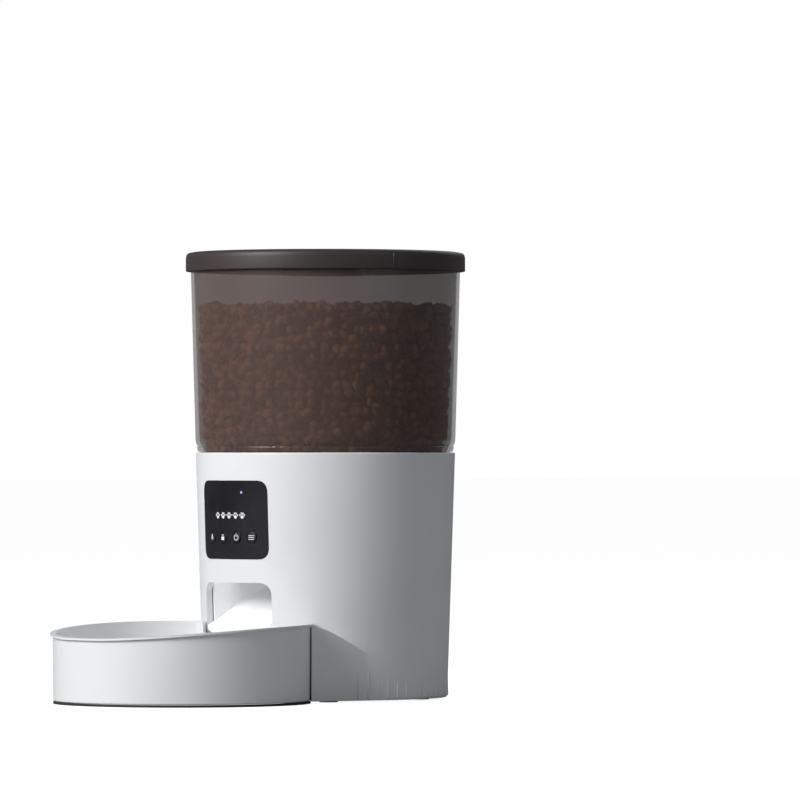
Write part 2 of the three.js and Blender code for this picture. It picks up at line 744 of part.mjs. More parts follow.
const LOWER_MESH = [GEARBOX_FLOOR + 4, GEARBOX_FLOOR + 8];
const UPPER_MESH = [GEARBOX_FLOOR + 12, GEARBOX_FLOOR + 16.5];
const IDLER_R = 1.5;

const shaft = disc(SHAFT_R, GEARBOX_FLOOR + GEARBOX_WALL + 0.6, ROTOR_Z1 - 4, 0, 0, 24);
piece("output_gear", join(wheel(...UPPER_MESH), shaft), ACETAL);

const IDLER_BORE = IDLER_R + 0.4;
const COMPOUND_TOP = UPPER_MESH[1] + 0.5;
const compoundTeeth = join(wheel(...LOWER_MESH), pinion(LOWER_MESH[1] - 0.5, COMPOUND_TOP));
const compoundGear = cut(compoundTeeth, disc(IDLER_BORE, GEARBOX_FLOOR, GEARBOX_TOP));
piece("compound_gear", compoundGear, ACETAL).position.y = GEAR_CENTRES;

const pinPlace = [GEARBOX_FLOOR + 0.3, GEARBOX_TOP - 0.6];
piece("idler_pin", disc(IDLER_R, ...pinPlace, 0, 0, 16), STEEL).position.y = GEAR_CENTRES;

const motorTeeth = pinion(LOWER_MESH[0] - 0.5, LOWER_MESH[1] + 0.5);
const motorPinion = cut(motorTeeth, disc(IDLER_BORE, GEARBOX_FLOOR, GEARBOX_TOP));
piece("motor_pinion", motorPinion, ACETAL).position.y = 2 * GEAR_CENTRES;

const MOTOR_TOP = GEARBOX_FLOOR - 6;
const motorShaft = disc(IDLER_R, MOTOR_TOP + 1, LOWER_MESH[1] + 2, 0, 0, 16);
piece("motor_shaft", motorShaft, STEEL).position.y = 2 * GEAR_CENTRES;

const gearMotor = turned(
  [
    [0, MOTOR_TOP - MOTOR_LENGTH],
    [MOTOR_R - 1, MOTOR_TOP - MOTOR_LENGTH],
    [MOTOR_R, MOTOR_TOP - MOTOR_LENGTH + 1],
    [MOTOR_R, MOTOR_TOP],
    [MOTOR_R - 2, MOTOR_TOP],
    [MOTOR_R - 2, GEARBOX_FLOOR - SEAT_GAP],
    [4, GEARBOX_FLOOR - SEAT_GAP],
    [4, GEARBOX_FLOOR + 1.2],
    [IDLER_BORE, GEARBOX_FLOOR + 1.2],
    [IDLER_BORE, MOTOR_TOP],
    [0, MOTOR_TOP],
  ],
  24,
);
piece("gear_motor", gearMotor, STEEL).position.y = 2 * GEAR_CENTRES;

function stadium(radius, far) {
  const shape = new THREE.Shape();
  shape.absarc(0, far, radius, 0, Math.PI);
  shape.absarc(0, 0, radius, Math.PI, 2 * Math.PI);
  return shape;
}

function gearboxCase() {
  const inner = (GEAR_MODULE * WHEEL_TEETH) / 2 + ADDENDUM + GEAR_ROOM;
  const outer = inner + GEARBOX_WALL;
  const far = 2 * GEAR_CENTRES + (GEAR_MODULE * PINION_TEETH) / 2 + ADDENDUM + GEAR_ROOM - inner;
  const outside = solid(upright(stadium(outer, far), GEARBOX_FLOOR, GEARBOX_TOP, 18));
  const room = solid(upright(stadium(inner, far), GEARBOX_FLOOR + GEARBOX_WALL, GEARBOX_TOP + 1, 18));
  const ears = [-1, 1].map((side) => disc(4.5, GEARBOX_TOP - 4.6, GEARBOX_TOP, side * EAR_X, EAR_Y, 16));
  const earHoles = [-1, 1].map((side) =>
    disc(SCREW_R + 0.3, GEARBOX_TOP - 6, GEARBOX_TOP + 1, side * EAR_X, EAR_Y, 12),
  );
  const pinHole = disc(IDLER_R + 0.3, GEARBOX_FLOOR - 1, GEARBOX_FLOOR + 3, 0, GEAR_CENTRES, 12);
  const motorHole = disc(4.4, GEARBOX_FLOOR - 1, GEARBOX_FLOOR + 3, 0, 2 * GEAR_CENTRES, 24);
  return cut(join(outside, ...ears), room, ...earHoles, pinHole, motorHole);
}

piece("gearbox_case", gearboxCase(), DARK);

[-1, 1].forEach((side, i) => {
  const fixing = piece(`gearbox_screw_${i + 1}`, screw(7.2), STEEL);
  fixing.position.set(side * EAR_X, EAR_Y, GEARBOX_TOP - 4.9);
});

// ---- Chute ----

const CHUTE_BACK = -DROP_INNER_R + 0.5;
const CHUTE_ROOF_Z = CUP_FLOOR - 0.4;
const SENSOR_Y = CHUTE_BACK - 22;
const SENSOR_Z = OUTLET_TOP - 4;

// Floor line from the back wall to the lip over the tray.
function chuteFloor(drop) {
  const face = -bodyRadius(OUTLET_BOTTOM);
  return [
    [CHUTE_BACK, OUTLET_TOP - 0.4 - drop],
    [face + 36, OUTLET_BOTTOM + 23.7 - drop],
    [face + 7, OUTLET_BOTTOM + 6.1 - drop],
    [face - CHUTE_LIP, OUTLET_BOTTOM + 3.3 - drop],
  ];
}

// The floor's front edge is one arc, from side to side of the outlet and out over the tray.
function chuteFront() {
  const face = bodyRadius(OUTLET_BOTTOM);
  const side = Math.sqrt((face - 0.3) ** 2 - CHUTE_HALF ** 2);
  const rise = face + CHUTE_LIP - side;
  const radius = (CHUTE_HALF ** 2 + rise ** 2) / (2 * rise);
  const front = disc(radius, 0, BODY_TOP, 0, radius - face - CHUTE_LIP, ROUND);
  return join(front, block(-BODY_FOOT_R, BODY_FOOT_R, -side, 0, 0, BODY_TOP));
}

function chute() {
  const half = CHUTE_HALF;
  const slab = polygon([...chuteFloor(0), ...chuteFloor(CHUTE_FLOOR_DROP).reverse()]);
  const floor = sideways(slab, -half, half).intersect(chuteFront());
  const wallOutline = polygon([
    ...chuteFloor(1),
    [-bodyRadius(OUTLET_BOTTOM), CHUTE_ROOF_Z],
    [CHUTE_BACK, CHUTE_ROOF_Z],
  ]);
  const insideShell = bodySolid(COLLAR_DEPTH + FIT_GAP, 0, CHUTE_ROOF_Z + 1);
  const walls = [-1, 1].map((side) => {
    const [x0, x1] = side < 0 ? [-half, -half + CHUTE_WALL] : [half - CHUTE_WALL, half];
    return sideways(wallOutline, x0, x1).intersect(insideShell);
  });
  const back = block(-half, half, CHUTE_BACK, CHUTE_BACK + CHUTE_WALL, OUTLET_TOP - 3, CHUTE_ROOF_Z);
  const roofEdge = -CUP_R - CUP_WALL;
  const roofFront = -bodyRadius(OUTLET_TOP);
  const roof = block(-half, half, roofFront, roofEdge, CHUTE_ROOF_Z - 1.6, CHUTE_ROOF_Z);
  const sensorHoles = [-1, 1].map((side) => {
    const hole = new THREE.CylinderGeometry(2, 2, 6, 12).rotateZ(Math.PI / 2);
    return solid(hole.translate(side * half, SENSOR_Y, SENSOR_Z));
  });
  return cut(join(floor, back, ...walls, roof.intersect(insideShell)), ...sensorHoles);
}

piece("chute", chute(), WHITE);

for (const [name, side] of [["light_emitter", -1], ["light_receiver", 1]]) {
  const near = CHUTE_HALF + 0.4;
  const housing = block(near, near + 4.5, -4, 4, -3.5, 3.5);
  const lensRod = new THREE.CylinderGeometry(1.5, 1.5, 2.4, 12).rotateZ(Math.PI / 2);
  const lens = solid(lensRod.translate(near - 0.6, 0, 0));
  const sensor = piece(name, join(housing, lens), DARK);
  sensor.rotation.z = side < 0 ? Math.PI : 0;
  sensor.position.set(0, SENSOR_Y, SENSOR_Z);
}

// ---- Panel, keys and control board ----

const PANEL_MID = PANEL_BOTTOM + PANEL_HEIGHT / 2;
const LIGHT_X = bodyRadius(LIGHT_HEIGHT) * Math.sin(LIGHT_AZIMUTH);
const LIGHT_FACE = bodyRadius(LIGHT_HEIGHT) * Math.cos(LIGHT_AZIMUTH);
const BOARD_FRONT = -(bodyRadius(PANEL_MID) - BOARD_DEPTH);
const MIC_HEIGHT = PANEL_BOTTOM + 6;

function frontRod(radius, y0, y1, x, z, segments = FINE) {
  const geometry = new THREE.CylinderGeometry(radius, radius, y1 - y0, segments);
  return solid(geometry.translate(x, (y0 + y1) / 2, z));
}

function panelCover() {
  const band = panelBand(-0.1, PANEL_THICK).intersect(panelOutline(0));
  const far = bodyRadius(BODY_TOP) + 2;
  const keyHoles = KEY_AZIMUTHS.map((azimuth) =>
    radialRod(KEY_R + 0.45, far - 12, far, KEY_HEIGHT, azimuth, 24),
  );
  const lightHole = frontRod(1.9, -far, -far + 12, LIGHT_X, LIGHT_HEIGHT, 16);
  const micHole = frontRod(0.8, -far, -far + 12, 0, MIC_HEIGHT, 12);
  return cut(band, ...keyHoles, lightHole, micHole);
}

piece("panel_cover", panelCover(), GLOSS_BLACK);

KEY_AZIMUTHS.forEach((azimuth, i) => {
  const face = bodyRadius(KEY_HEIGHT);
  const cap = radialRod(KEY_R, face - PANEL_THICK - 1.2, face + KEY_PROUD, 0, 0, 24);
  const flange = radialRod(KEY_R + 1.2, face - PANEL_THICK - 1.9, face - PANEL_THICK - 1.1, 0, 0, 24);
  const stem = radialRod(1.6, face - KEY_BACK, face - PANEL_THICK - 1.5, 0, 0, 12);
  const key = piece(`key_${i + 1}`, join(cap, flange, stem), GLOSS_BLACK);
  key.rotation.z = azimuth;
  key.position.z = KEY_HEIGHT;

  const [x] = onCircle(face - KEY_BACK, azimuth);
  const stemEnd = -(face - KEY_BACK) * Math.cos(azimuth);
  const actuatorEnd = stemEnd + KEY_TRAVEL + 0.5;
  const switchBody = block(-3, 3, BOARD_FRONT - 0.3 - 2, BOARD_FRONT - 0.3, -3, 3);
  const actuator = frontRod(1.2, actuatorEnd, BOARD_FRONT - 1, 0, 0, 12);
  piece(`tact_switch_${i + 1}`, join(switchBody, actuator), DARK).position.set(x, 0, KEY_HEIGHT);
});

const boardBottom = PANEL_BOTTOM + 3;
const boardTop = PANEL_BOTTOM + 49;
const board = roundedRect(-BOARD_HALF, BOARD_HALF, boardBottom, boardTop, 2);
piece("control_board", frontal(board, BOARD_FRONT, BOARD_FRONT + BOARD_THICK), BOARD_GREEN);

const lightFoot = block(
  ...[LIGHT_X - 2, LIGHT_X + 2],
  ...[BOARD_FRONT - 1.5, BOARD_FRONT - 0.3],
  ...[LIGHT_HEIGHT - 2, LIGHT_HEIGHT + 2],
);
const lightRod = frontRod(1.5, -LIGHT_FACE + 0.1, BOARD_FRONT - 1, LIGHT_X, LIGHT_HEIGHT, 16);
piece("status_light", join(lightFoot, lightRod), LIGHT_BLUE);

const MIC_BACK = BOARD_FRONT - 0.3;
piece("microphone", frontRod(2.2, MIC_BACK - 3, MIC_BACK, 0, MIC_HEIGHT, 16), DARK);

// ---- Hopper ----

function hopper() {
  const wall = HOPPER_WALL;
  const insertR = innerRadius(BODY_TOP) - 1.1;
  const insertFoot = BODY_TOP - HOPPER_INSERT;
  const coneTop = insertFoot + 3;
  const throatTop = DECK_Z + THROAT_RISE;
  const throatFoot = DECK_Z - 0.5;
  const seam = BODY_TOP + SEAT_GAP;
  const groove = HOPPER_SHOULDER_R - HOPPER_GROOVE;
  const shoulder = BODY_TOP + HOPPER_SHOULDER;
  return turned([
    [THROAT_R, throatFoot],
    [THROAT_R, throatTop],
    [insertR - 4, insertFoot],
    [insertR, insertFoot],
    [insertR, seam],
    [groove, seam],
    [groove + 0.9, seam + 3.4],
    [groove, seam + 4.2],
    [groove + 0.9, seam + 5],
    [HOPPER_SHOULDER_R, shoulder],
    [HOPPER_TOP_R, HOPPER_TOP - 1],
    [HOPPER_TOP_R - 0.8, HOPPER_TOP],
    [HOPPER_TOP_R - wall, HOPPER_TOP],
    [HOPPER_SHOULDER_R - wall - 0.6, shoulder],
    [insertR - wall, seam + 1],
    [insertR - wall, coneTop + 1],
    [THROAT_R - wall, throatTop + 1.5],
    [THROAT_R - wall, throatFoot],
  ]);
}

piece("hopper", hopper(), SMOKE);

// ---- Lid, seal and desiccant ----

const PLUG_R = HOPPER_TOP_R - HOPPER_WALL - 1.7;
const SEAL_R = HOPPER_TOP_R - HOPPER_WALL - SEAL_SQUEEZE;
const LID_UNDER = LID_TOP - LID_PLATE;
const SEAL_Z = HOPPER_TOP - 1.2;

function lid() {
  const skirt = HOPPER_TOP - LID_SKIRT;
  return turned([
    [0, LID_TOP],
    [LID_R - LID_ROUND, LID_TOP],
    [LID_R - LID_ROUND * 0.3, LID_TOP - LID_ROUND * 0.3],
    [LID_R, LID_TOP - LID_ROUND],
    [LID_R, skirt + 0.5],
    [LID_R - 0.5, skirt],
    [LID_R - LID_WALL, skirt],
    [LID_R - LID_WALL, HOPPER_TOP + 1],
    [PLUG_R, HOPPER_TOP + 1],
    [PLUG_R, SEAL_Z + 1.4],
    [PLUG_R - 1.6, SEAL_Z + 1.4],
    [PLUG_R - 1.6, SEAL_Z - 1.4],
    [PLUG_R, SEAL_Z - 1.4],
    [PLUG_R, HOPPER_TOP - PLUG_DEPTH],
    [PLUG_R - 3.6, HOPPER_TOP - PLUG_DEPTH],
    [PLUG_R - 3.6, LID_UNDER],
    [0, LID_UNDER],
  ]);
}

piece("lid", lid(), LID_GREY);

const lidSeal = turned([
  [PLUG_R - 1.3, SEAL_Z - 1.1],
  [SEAL_R - 0.5, SEAL_Z - 1.1],
  [SEAL_R, SEAL_Z],
  [SEAL_R - 0.5, SEAL_Z + 1.1],
  [PLUG_R - 1.3, SEAL_Z + 1.1],
]);
piece("lid_seal", lidSeal, SILICONE);

const DESICCANT_TOP = LID_UNDER - SEAT_GAP;
const DESICCANT_FOOT = DESICCANT_TOP - DESICCANT_HEIGHT;
const desiccantHolder = turned(
  [
    [0, DESICCANT_TOP],
    [DESICCANT_R, DESICCANT_TOP],
    [DESICCANT_R, DESICCANT_FOOT + 3.4],
    [DESICCANT_R - 1.6, DESICCANT_FOOT + 3.4],
    [DESICCANT_R - 1.6, DESICCANT_TOP - 1.6],
    [0, DESICCANT_TOP - 1.6],
  ],
  SMALL_ROUND,
);
piece("desiccant_holder", desiccantHolder, WHITE);

function desiccantCap() {
  const z0 = DESICCANT_FOOT;
  const rim = DESICCANT_R;
  const cap = turned(
    [
      [0, z0],
      [rim, z0],
      [rim, z0 + 2.8],
      [rim - 2.2, z0 + 2.8],
      [rim - 2.2, z0 + 4.8],
      [rim - 3.8, z0 + 4.8],
      [rim - 3.8, z0 + 1.6],
      [0, z0 + 1.6],
    ],
    SMALL_ROUND,
  );
  const slots = Array.from({ length: 8 }, (_, i) =>
    block(-1.2, 1.2, -18, -6, z0 - 1, z0 + 3, (i * Math.PI) / 4),
  );
  return cut(cap, ...slots);
}

piece("desiccant_cap", desiccantCap(), WHITE);

const packR = DESICCANT_R - 5;
const desiccantPack = turned(
  [
    [0, DESICCANT_FOOT + 2],
    [packR - 4, DESICCANT_FOOT + 2.4],
    [packR, DESICCANT_FOOT + 5.6],
    [packR - 4, DESICCANT_TOP - 2.4],
    [0, DESICCANT_TOP - 2],
  ],
  24,
);
piece("desiccant_pack", desiccantPack, PAPER);

// ---- Food tray ----

// Everything above the rim, which rises in a shallow curve from front to back.
function aboveRim(drop) {
  const frontY = TRAY_Y - TRAY_R;
  const outline = new THREE.Shape();
  outline.moveTo(frontY - 10, TRAY_FRONT_HEIGHT - drop);
  outline.lineTo(frontY, TRAY_FRONT_HEIGHT - drop);
  const backZ = TRAY_BACK_HEIGHT - drop;
  outline.quadraticCurveTo((frontY + TRAY_BACK_Y) / 2, backZ, TRAY_BACK_Y, backZ);
  outline.lineTo(0, TRAY_BACK_HEIGHT - drop);
  outline.lineTo(0, TRAY_BACK_HEIGHT + 20);
  outline.lineTo(frontY - 10, TRAY_BACK_HEIGHT + 20);
  return sideways(outline, -TRAY_R - 10, TRAY_R + 10, 16);
}

function trayRound(foot, rim, z0, z1) {
  const profile = [
    [0, z0],
    [foot, z0],
    [rim, z1],
    [0, z1],
  ];
  const points = profile.map(([radius, z]) => new THREE.Vector2(radius, z));
  const geometry = new THREE.LatheGeometry(points, ROUND).rotateX(Math.PI / 2);
  return solid(geometry.translate(0, TRAY_Y, 0));
}

function foodTray() {
  const top = TRAY_BACK_HEIGHT + 2;
  const foot = TRAY_R - TRAY_DRAFT;
  const around = disc(TRAY_BACK_R, -1, top + 1, 0, 0, ROUND);
  const backWall = disc(TRAY_BACK_R + TRAY_WALL, -1, top + 1, 0, 0, ROUND);
  const lipZ = TRAY_FRONT_HEIGHT - TRAY_LIP_HEIGHT - 1;
  const lip = cut(trayRound(TRAY_R + TRAY_LIP, TRAY_R + TRAY_LIP, lipZ, top), belowLip());
  const outside = join(trayRound(foot, TRAY_R, TRAY_FOOT, top), lip);
  const inside = foot - TRAY_WALL;
  const bowl = cut(trayRound(inside, TRAY_R - TRAY_WALL, TRAY_FLOOR + TRAY_WALL, top + 1), backWall);
  const under = cut(trayRound(inside, inside, -1, TRAY_FLOOR), backWall);
  return cut(outside, around, bowl, under, aboveRim(0), chuteNotch());
}

// The chute's lip passes over the tray's back wall in this notch.
function chuteNotch() {
  const half = CHUTE_HALF + TRAY_NOTCH_ROOM;
  const lipBelow = chuteFloor(CHUTE_FLOOR_DROP).at(-1)[1];
  return block(-half, half, -TRAY_BACK_R - TRAY_WALL - 4, 0, lipBelow - 0.8, TRAY_BACK_HEIGHT + 3);
}

function trayRing() {
  const outer = TRAY_R - TRAY_DRAFT;
  const inner = outer - TRAY_RING_WIDTH;
  const around = disc(TRAY_BACK_R, -1, TRAY_FOOT, 0, 0, ROUND);
  const behind = disc(TRAY_BACK_R + TRAY_RING_WIDTH, -1, TRAY_FOOT, 0, 0, ROUND);
  const room = cut(trayRound(inner, inner, -1, TRAY_FOOT), behind);
  return cut(trayRound(outer, outer, 0, TRAY_RING_HEIGHT), around, room);
}

// The lip's lower side runs along the rim.
function belowLip() {
  const low = block(-TRAY_R * 2, TRAY_R * 2, TRAY_Y * 2.5, 0, -1, TRAY_BACK_HEIGHT + 20);
  return cut(low, aboveRim(TRAY_LIP_HEIGHT));
}

piece("food_tray", foodTray(), WHITE);
piece("tray_ring", trayRing(), RUBBER);

// Origin under the middle of the whole object's outline.
const TRAY_FRONT = TRAY_Y - TRAY_R - TRAY_LIP;
pieces.position.y = -(TRAY_FRONT + LID_R) / 2;
pieces.updateMatrixWorld(true);

export default pieces;
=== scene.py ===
"""Automatic pet feeder: the finished look around its fixed CAD frame, laid out as an add-on."""

import json
import math
import random

import bpy
from bpy.props import FloatProperty, FloatVectorProperty, IntProperty, PointerProperty
from mathutils import Matrix, Vector


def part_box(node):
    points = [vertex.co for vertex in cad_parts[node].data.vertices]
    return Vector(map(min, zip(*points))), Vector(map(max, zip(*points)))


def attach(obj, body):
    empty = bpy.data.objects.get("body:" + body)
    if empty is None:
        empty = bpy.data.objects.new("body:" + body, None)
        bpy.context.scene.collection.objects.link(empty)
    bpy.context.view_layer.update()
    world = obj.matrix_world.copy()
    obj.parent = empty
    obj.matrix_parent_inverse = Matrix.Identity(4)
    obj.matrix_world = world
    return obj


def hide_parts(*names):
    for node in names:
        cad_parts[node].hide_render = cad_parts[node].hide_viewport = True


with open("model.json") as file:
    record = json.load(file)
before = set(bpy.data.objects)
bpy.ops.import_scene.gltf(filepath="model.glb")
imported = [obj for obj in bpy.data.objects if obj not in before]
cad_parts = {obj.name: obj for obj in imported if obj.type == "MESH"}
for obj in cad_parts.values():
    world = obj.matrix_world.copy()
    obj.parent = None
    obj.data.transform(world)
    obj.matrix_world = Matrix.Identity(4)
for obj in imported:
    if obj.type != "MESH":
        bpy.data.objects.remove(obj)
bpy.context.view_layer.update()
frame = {"nodes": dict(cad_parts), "record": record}

bl_info = {
    "name": "Automatic Pet Feeder",
    "version": (1, 0, 0),
    "blender": (4, 5, 0),
    "location": "View3D > Sidebar > Feeder",
    "description": "Builds the finished pieces of a round automatic dry-food feeder",
    "category": "Object",
}

MM = 0.001
WELD = 0.000002
SHELL_LOW, SHELL_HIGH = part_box("base_shell")
HOPPER_LOW, HOPPER_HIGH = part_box("hopper")
LID_LOW, LID_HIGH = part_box("lid")
TRAY_LOW, TRAY_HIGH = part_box("food_tray")
PANEL_LOW, PANEL_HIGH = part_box("panel_cover")
CHUTE_LOW, CHUTE_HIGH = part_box("chute")

SEAM = SHELL_HIGH[2]
LID_RADIUS = LID_HIGH[0]
AXIS = Vector((0, LID_HIGH[1] - LID_RADIUS, 0))
TRAY_RADIUS = TRAY_HIGH[0]
TRAY_CENTRE = Vector((0, TRAY_LOW[1] + TRAY_RADIUS, 0))
OUTLET_FOOT = 45.5 * MM


def body_radius(z):
    """Outer radius of the base shell, the same cone as the CAD's."""
    size = bpy.context.scene.feeder_base
    return size.foot_radius + size.flare * z / SEAM


# ---- Sizes and colours that a user would change ----


class FeederBase(bpy.types.PropertyGroup):
    """Sizes of the white base."""

    foot_radius: FloatProperty(name="Foot radius", description="Outer radius at the floor",
                               default=84.5 * MM, unit="LENGTH")
    flare: FloatProperty(name="Flare", description="Radius gained from the floor to the seam",
                         default=5.5 * MM, unit="LENGTH")
    wall: FloatProperty(name="Wall", description="Wall thickness", default=2.5 * MM, unit="LENGTH")
    rib_count: IntProperty(name="Ribs", description="Fine ribs round the back of the foot", default=46)
    rib_height: FloatProperty(name="Rib height", description="Top of the ribs", default=21 * MM,
                              unit="LENGTH")
    colour: FloatVectorProperty(name="Shell colour", description="Moulded plastic of base and tray",
                                subtype="COLOR", size=3, default=(0.80, 0.81, 0.82), min=0, max=1)


class FeederHopper(bpy.types.PropertyGroup):
    """Sizes of the see-through hopper and its lid."""

    wall: FloatProperty(name="Wall", description="Hopper wall thickness", default=2.2 * MM, unit="LENGTH")
    shoulder: FloatProperty(name="Shoulder", description="Height of the ring groove", default=8 * MM,
                            unit="LENGTH")
    flare: FloatProperty(name="Flare", description="Radius gained towards the rim", default=3.4 * MM,
                         unit="LENGTH")
    density: FloatProperty(name="Density", description="How much the smoky wall hides", default=0.53,
                           subtype="FACTOR", min=0, max=1)
    colour: FloatVectorProperty(name="Smoke colour", description="Tint of the see-through plastic",
                                subtype="COLOR", size=3, default=(0.122, 0.080, 0.071), min=0, max=1)
    lid_colour: FloatVectorProperty(name="Lid colour", description="Warm grey of the lid",
                                    subtype="COLOR", size=3, default=(0.040, 0.030, 0.030), min=0, max=1)


class FeederFood(bpy.types.PropertyGroup):
    """The dry food in the hopper."""

    top: FloatProperty(name="Food level", description="Height of the food's surface", default=274 * MM,
                       unit="LENGTH")
    size: FloatProperty(name="Kibble size", description="Length across one kibble", default=9.5 * MM,
                        unit="LENGTH")
    seed: IntProperty(name="Seed", description="Seed of the kibbles' places", default=7)
    colour: FloatVectorProperty(name="Kibble colour", description="Baked brown",
                                subtype="COLOR", size=3, default=(0.52, 0.26, 0.12), min=0, max=1)


class FeederTray(bpy.types.PropertyGroup):
    """Sizes of the food tray."""

    lip: FloatProperty(name="Lip", description="Outward lip round the rim", default=2 * MM, unit="LENGTH")
    lip_height: FloatProperty(name="Lip height", description="Depth of the lip", default=1.3 * MM,
                              unit="LENGTH")
    wall: FloatProperty(name="Wall", description="Wall thickness", default=2.2 * MM, unit="LENGTH")
    floor: FloatProperty(name="Floor", description="Height of the bowl's floor", default=8.2 * MM,
                         unit="LENGTH")
    front: FloatProperty(name="Front height", description="Rim height at the front", default=45.7 * MM,
                         unit="LENGTH")


class FeederPanel(bpy.types.PropertyGroup):
    """Sizes of the black panel."""

    thickness: FloatProperty(name="Thickness", description="Panel thickness", default=1.5 * MM,
                             unit="LENGTH")
    corner: FloatProperty(name="Corner", description="Corner radius", default=6 * MM, unit="LENGTH")
    halo: FloatProperty(name="Key halo", description="Radius of a key", default=4 * MM, unit="LENGTH")
    print_height: FloatProperty(name="Print", description="How far the prints stand out",
                                default=0.06 * MM, unit="LENGTH")


GROUPS = {
    "feeder_base": FeederBase,
    "feeder_hopper": FeederHopper,
    "feeder_food": FeederFood,
    "feeder_tray": FeederTray,
    "feeder_panel": FeederPanel,
}


# ---- Modelling helpers ----


def clear_selection():
    if bpy.context.object and bpy.context.object.mode != "OBJECT":
        bpy.ops.object.mode_set(mode="OBJECT")
    bpy.ops.object.select_all(action="DESELECT")


def pick(piece):
    clear_selection()
    piece.select_set(True)
    bpy.context.view_layer.objects.active = piece


def edit(piece):
    pick(piece)
    bpy.ops.object.mode_set(mode="EDIT")
    bpy.ops.mesh.select_mode(type="VERT")
    bpy.ops.mesh.select_all(action="SELECT")


def leave_edit():
    bpy.ops.object.mode_set(mode="OBJECT")


def settle(piece):
    """Puts the piece's place into its mesh."""
    pick(piece)
    bpy.ops.object.transform_apply(location=True, rotation=True, scale=True)


def weld(piece):
    edit(piece)
    bpy.ops.mesh.remove_doubles(threshold=WELD)
    bpy.ops.mesh.normals_make_consistent(inside=False)
    leave_edit()


def line_of(points, name):
    """One vertex extruded from point to point."""
    clear_selection()
    bpy.ops.mesh.primitive_plane_add(size=MM, location=points[0])
    piece = bpy.context.object
    piece.name = name
    settle(piece)
    edit(piece)
    bpy.ops.mesh.merge(type="CENTER")
    for near, far in zip(points, points[1:]):
        step = Vector(far) - Vector(near)
        bpy.ops.mesh.extrude_region_move(TRANSFORM_OT_translate={"value": step})
    return piece


def softened(points, radius, steps=4, closed=True):
    """The outline with rounded corners. A point is (x, y) or (x, y, its own rounding)."""
    count = len(points)
    corners = [Vector(p[:2]) for p in points]
    rounds = [p[2] if len(p) > 2 else radius for p in points]
    result = []
    for i, corner in enumerate(corners):
        if rounds[i] == 0 or (not closed and i in (0, count - 1)):
            result.append(corner)
            continue
        before = corners[i - 1] - corner
        after = corners[(i + 1) % count] - corner
        start = corner + before.normalized() * min(rounds[i], 0.45 * before.length)
        end = corner + after.normalized() * min(rounds[i], 0.45 * after.length)
        for k in range(steps + 1):
            t = k / steps
            result.append(start * (1 - t) ** 2 + corner * 2 * t * (1 - t) + end * t * t)
    return result


def turned(name, profile, steps=160, round_by=0.5 * MM, closed=True, centre=AXIS):
    """A profile of (radius, height) spun about an upright line."""
    flat = softened(profile, round_by, closed=closed)
    points = [Vector((centre.x + r, centre.y, z)) for r, z in flat]
    if closed:
        points.append(points[0])
    piece = line_of(points, name)
    bpy.ops.mesh.select_all(action="SELECT")
    bpy.ops.mesh.spin(steps=steps, angle=2 * math.pi, center=centre, axis=(0, 0, 1))
    leave_edit()
    weld(piece)
    return piece


def extruded(name, points, along):
    """A closed flat outline filled and given depth."""
    piece = line_of([*points, points[0]], name)
    bpy.ops.mesh.select_all(action="SELECT")
    bpy.ops.mesh.remove_doubles(threshold=WELD)
    bpy.ops.mesh.edge_face_add()
    bpy.ops.mesh.extrude_region_move(TRANSFORM_OT_translate={"value": along})
    bpy.ops.mesh.select_all(action="SELECT")
    bpy.ops.mesh.normals_make_consistent(inside=False)
    leave_edit()
    return piece


def carve(piece, tool, operation="DIFFERENCE"):
    boolean = piece.modifiers.new("carve", "BOOLEAN")
    boolean.object = tool
    boolean.operation = operation
    boolean.solver = "EXACT"
    pick(piece)
    bpy.ops.object.modifier_apply(modifier=boolean.name)
    bpy.data.objects.remove(tool)


def joined(first, *others):
    clear_selection()
    for piece in (first, *others):
        piece.select_set(True)
    bpy.context.view_layer.objects.active = first
    if others:
        bpy.ops.object.join()
    return first


def edge_bevel(piece, width, segments=2, angle=40):
    bevel = piece.modifiers.new("bevel", "BEVEL")
    bevel.width = width
    bevel.segments = segments
    bevel.limit_method = "ANGLE"
    bevel.angle_limit = math.radians(angle)
    bevel.use_clamp_overlap = True
    pick(piece)
    bpy.ops.object.modifier_apply(modifier=bevel.name)


def smooth(piece, angle=32, weighted=False):
    pick(piece)
    bpy.ops.object.shade_smooth_by_angle(angle=math.radians(angle))
    if weighted:
        normals = piece.modifiers.new("normals", "WEIGHTED_NORMAL")
        normals.keep_sharp = True
        bpy.ops.object.modifier_apply(modifier=normals.name)


def finish(piece, material, body, slot, *replaced):
    """Gives a finished piece its material and its body, and hides the frame pieces it replaces; slot is not
    used.
    """
    piece.data.materials.clear()
    piece.data.materials.append(material)
    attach(piece, body)
    if replaced:
        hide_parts(*replaced)
    return piece


def turn_about_axis(piece, azimuth):
    """Turns a settled piece about the feeder's axis, from the front towards +X."""
    spin = Matrix.Translation(AXIS) @ Matrix.Rotation(azimuth, 4, "Z") @ Matrix.Translation(-AXIS)
    piece.matrix_world = spin @ piece.matrix_world
    settle(piece)
    return piece


def around(radius, azimuth, z=0.0):
    """The point at that radius and azimuth from the feeder's axis."""
    return Vector((radius * math.sin(azimuth), AXIS.y - radius * math.cos(azimuth), z))


# ---- Materials ----


def node_material(name, colour, roughness, metallic=0.0):
    material = bpy.data.materials.new(name)
    material.use_nodes = True
    shader = material.node_tree.nodes["Principled BSDF"]
    shader.inputs["Base Color"].default_value = (*colour, 1)
    shader.inputs["Roughness"].default_value = roughness
    shader.inputs["Metallic"].default_value = metallic
    return material, material.node_tree, shader


